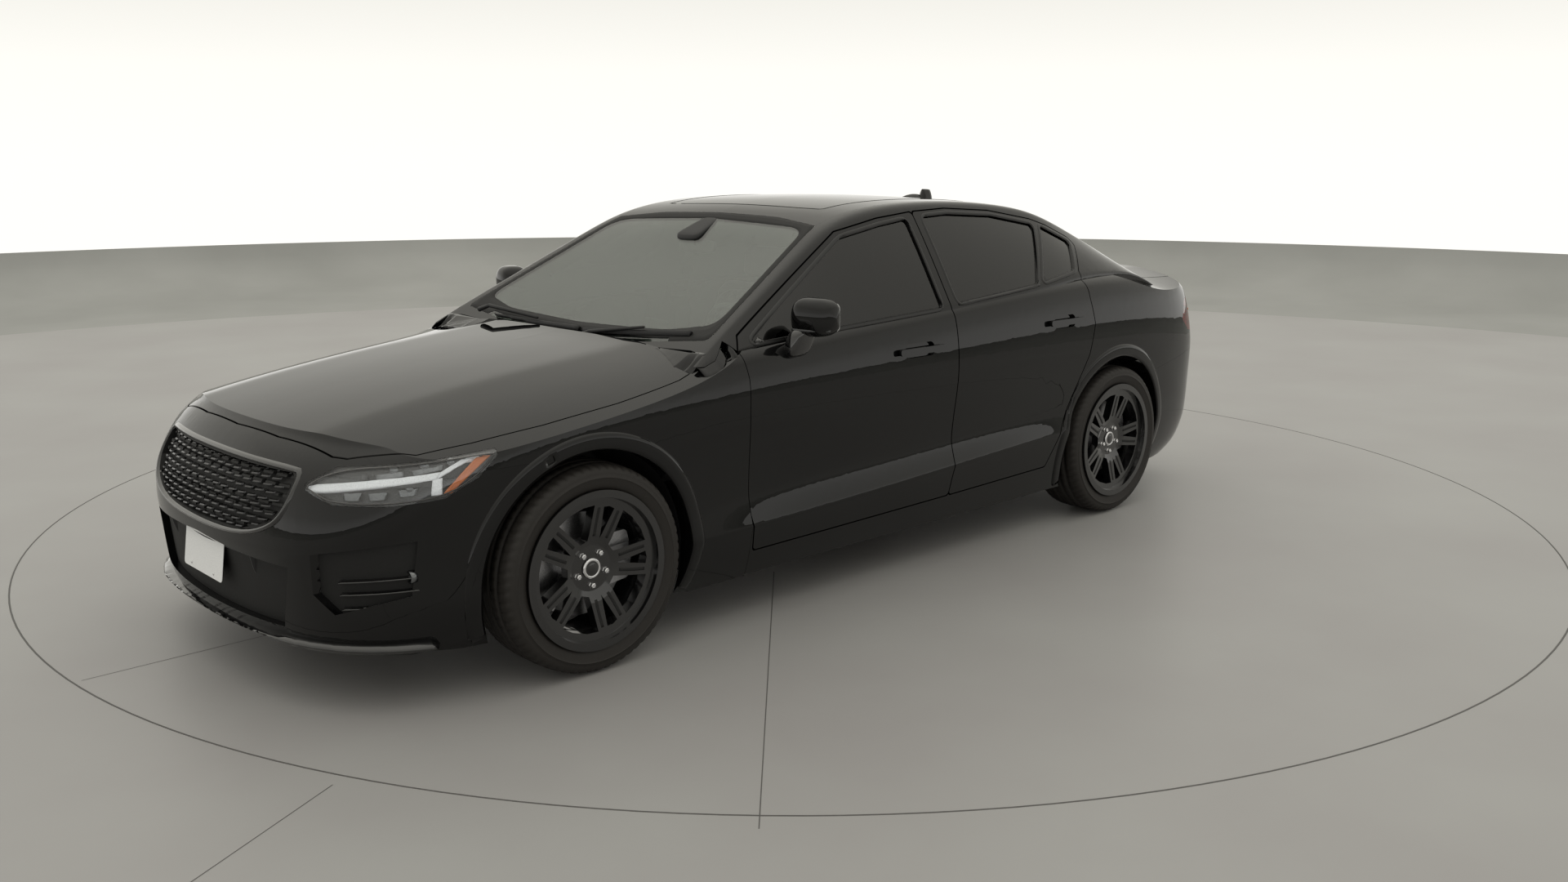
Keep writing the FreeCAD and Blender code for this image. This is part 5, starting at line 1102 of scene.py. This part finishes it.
def rear_pieces():
    skin = Skin("rear_bumper", "boot_lid", "body_side_left")
    path = [(0.0, 0.262), (0.45, 0.262), (0.62, 0.275)]
    diffuser = band("diffuser", skin.back, path, 0.035, 0.006, 40)
    on_both(diffuser, "rear_diffuser", gloss_black, "body")
    path = [(0.60, 0.862), (0.70, 0.862), (0.80, 0.8635)]
    light = band("tail_light_bar", Skin("tail_lamps").back, path, 0.006, 0.002, 20)
    on_both(light, "tail_light_bar", amber_glass, "body")


# Cabin

def cushion(name, centre, half, power, grooves, lean=0.0, count=(30, 40)):
    """Padded pad with stitched channels across it."""
    def squeeze(p):
        u = p.y / half[1]
        dip = 0.10 * sum(math.exp(-((u - g) / 0.035) ** 2) for g in grooves)
        side_bulge = 1 + 0.30 * max(0, abs(u) - 0.55)
        return Vector((p.x, p.y, p.z * (1 - dip) * side_bulge))

    obj = superbox(name, (0, 0, 0), half, power, count[0], count[1], squeeze)
    obj.data.transform(Matrix.Translation(centre) @ Matrix.Rotation(lean, 4, "Y"))
    return obj


def puffed(pads, cap=0.010, frames=20):
    """Cloth under pressure swells the pads, and the result stays in their meshes."""
    scene = bpy.context.scene
    for obj in pads:
        remesh = obj.modifiers.new("remesh", "REMESH")
        remesh.mode = "VOXEL"
        remesh.voxel_size = 0.009
        applied(obj)
        cloth = obj.modifiers.new("cloth", "CLOTH")
        cloth.settings.use_pressure = True
        cloth.settings.uniform_pressure_force = 4
        cloth.settings.quality = 4
        cloth.settings.effector_weights.gravity = 0
    starts = [[v.co.copy() for v in obj.data.vertices] for obj in pads]
    scene.frame_set(1)
    for number in range(1, frames + 1):
        scene.frame_set(number)
    for obj, start in zip(pads, starts):
        applied(obj)
        for vertex, before in zip(obj.data.vertices, start):
            move = vertex.co - before
            if move.length > cap:
                vertex.co = before + move * (cap / move.length)
        for polygon in obj.data.polygons:
            polygon.use_smooth = True
    scene.frame_set(1)


def applied(obj):
    """Bakes the modifiers of a piece into its mesh."""
    graph = bpy.context.evaluated_depsgraph_get()
    mesh = bpy.data.meshes.new_from_object(obj.evaluated_get(graph))
    obj.modifiers.clear()
    obj.data = mesh


def cabin():
    pads = []
    for side, sign in SIDES:
        y = 0.370 * sign
        seat = cushion("seat_cushion_" + side, (0.105, y, 0.445), (0.225, 0.245, 0.060), 4.5,
                       (-0.5, 0.5), -0.15)
        back = cushion("seat_back_" + side, (-0.248, y, 0.745), (0.262, 0.240, 0.062), 4.5,
                       (-0.5, 0.5), math.radians(72.5))
        rest = cushion("head_rest_" + side, (-0.404, y, 1.112), (0.074, 0.132, 0.046), 3.2, (),
                       math.radians(80), (16, 28))
        pads += [seat, back, rest]
    base = cushion("bench_cushion", (-0.790, 0, 0.455), (0.205, 0.555, 0.055), 5.0,
                   (-0.34, 0.34), -0.11, (28, 60))
    back = cushion("bench_back", (-1.118, 0, 0.752), (0.245, 0.555, 0.055), 5.0, (-0.34, 0.34),
                   math.radians(71), (28, 60))
    pads += [base, back]
    puffed(pads)
    for obj in pads:
        finished(obj, leather, "body")
    screen = rounded_slab("dash_screen", 0.150, 0.230, 0.010, 0.010,
                          Matrix.Translation((0.530, 0.0, 0.850))
                          @ Matrix.Rotation(math.radians(-78), 4, "Y")
                          @ Matrix.Rotation(math.radians(90), 4, "Z"))
    finished(screen, screen_dark, "body")


# Stage, lights and camera

RING_CENTRE, RING_RADIUS = (-0.575, -0.399, 0), 3.325
GROOVE_HALF, SEAM_HALF, SEAM_Z = 0.003, 0.0016, 0.0004
FLOOR_SEAMS = (((1.828, 1.995), (0.391, 0.515)), ((2.469, 1.063), (3.60, 1.66)),
               ((2.715, -0.147), (2.10, -0.15)))
CAMERA_PLACE, CAMERA_AIM, CAMERA_LENS = (3.8405, 4.1993, 1.5873), (-0.6743, -0.7091, -0.2063), 30.85


def mottled_material(name, roughness, scale, detail, first, second):
    material, tree, shader = new_material(name, first, roughness)
    tree.links.new(mixed_color(tree, add_noise(tree, scale, detail), first, second),
                   shader.inputs["Base Color"])
    return material


def build_stage():
    floor_material = mottled_material("pale_floor", 0.42, 0.9, 6.0, (0.335, 0.325, 0.325),
                                      (0.375, 0.375, 0.37))
    wall_material = mottled_material("grey_wall", 0.75, 0.7, 4.0, (0.30, 0.305, 0.295),
                                     (0.355, 0.36, 0.35))
    rings = [(9.6, 0.0), (10.4, 0.012), (11.2, 0.05), (11.8, 0.13), (12.2, 0.27), (12.42, 0.42),
             (12.5, 0.56)]
    count = 128
    bm = bmesh.new()
    bmesh.ops.create_circle(bm, cap_ends=True, segments=count, radius=rings[0][0])
    floor = from_bmesh("studio_floor", bm, False)
    floor.data.materials.append(floor_material)
    points = []
    for radius, height in rings:
        for i in range(count):
            angle = 2 * math.pi * i / count
            points.append((radius * math.cos(angle), radius * math.sin(angle), height))
    wall = mesh_object("studio_wall", points, loft_faces(len(rings), count, False))
    wall.data.materials.append(wall_material)
    groove_material = plain_material("floor_groove", (0.085, 0.083, 0.080), 0.6, 40, 0.05)
    inside, outside = RING_RADIUS - GROOVE_HALF, RING_RADIUS + GROOVE_HALF
    grooves = [revolved("studio_floor_ring", [(0.0, inside), (0.0, outside), (0.0006, outside),
                                              (0.0006, inside)], RING_CENTRE, "Z", 200)]
    for i, (start, end) in enumerate(FLOOR_SEAMS):
        a, b = Vector((*start, SEAM_Z)), Vector((*end, SEAM_Z))
        across = Vector((a.y - b.y, b.x - a.x, 0)).normalized() * SEAM_HALF
        grooves.append(mesh_object("studio_floor_seam_%d" % i,
                                   [a - across, a + across, b + across, b - across],
                                   [(3, 2, 1, 0)], False))
    for groove in grooves:
        groove.data.materials.append(groove_material)
    world = bpy.data.worlds.new("studio_light")
    bpy.context.scene.world = world
    world.use_nodes = True
    tree = world.node_tree
    place = tree.nodes.new("ShaderNodeTexCoord")
    split = tree.nodes.new("ShaderNodeSeparateXYZ")
    tree.links.new(place.outputs["Generated"], split.inputs[0])
    ramp = tree.nodes.new("ShaderNodeValToRGB")
    stops = ramp.color_ramp.elements
    stops[0].position, stops[0].color = 0.0, (1.05, 1.035, 0.985, 1)
    stops[1].position, stops[1].color = 1.0, (1.15, 1.12, 1.02, 1)
    for position, color in ((0.06, (1.02, 1.005, 0.95, 1)), (0.16, (0.80, 0.785, 0.725, 1)),
                            (0.45, (0.70, 0.68, 0.615, 1))):
        stop = stops.new(position)
        stop.color = color
    tree.links.new(split.outputs["Z"], ramp.inputs["Fac"])
    tree.links.new(ramp.outputs["Color"], tree.nodes["Background"].inputs["Color"])
    tree.nodes["Background"].inputs["Strength"].default_value = 1.0
    bpy.context.scene.view_settings.view_transform = "Standard"


def build_camera():
    data = bpy.data.cameras.new("camera")
    data.sensor_width = 36
    data.lens = CAMERA_LENS
    camera = link(bpy.data.objects.new("camera", data))
    camera.location = CAMERA_PLACE
    camera.rotation_mode = "QUATERNION"
    camera.rotation_quaternion = Vector(CAMERA_AIM).to_track_quat("-Z", "Y")
    bpy.context.scene.camera = camera


arch_lips()
window_trims()
mirrors()
headlamps()
lamp_surrounds()
grille()
intake()
plates()
wheels()
tyres()
brakes()
roof_pieces()
hood_corners()
pillar_feet()
screen_pieces()
rear_pieces()
cabin()
build_stage()
build_camera()
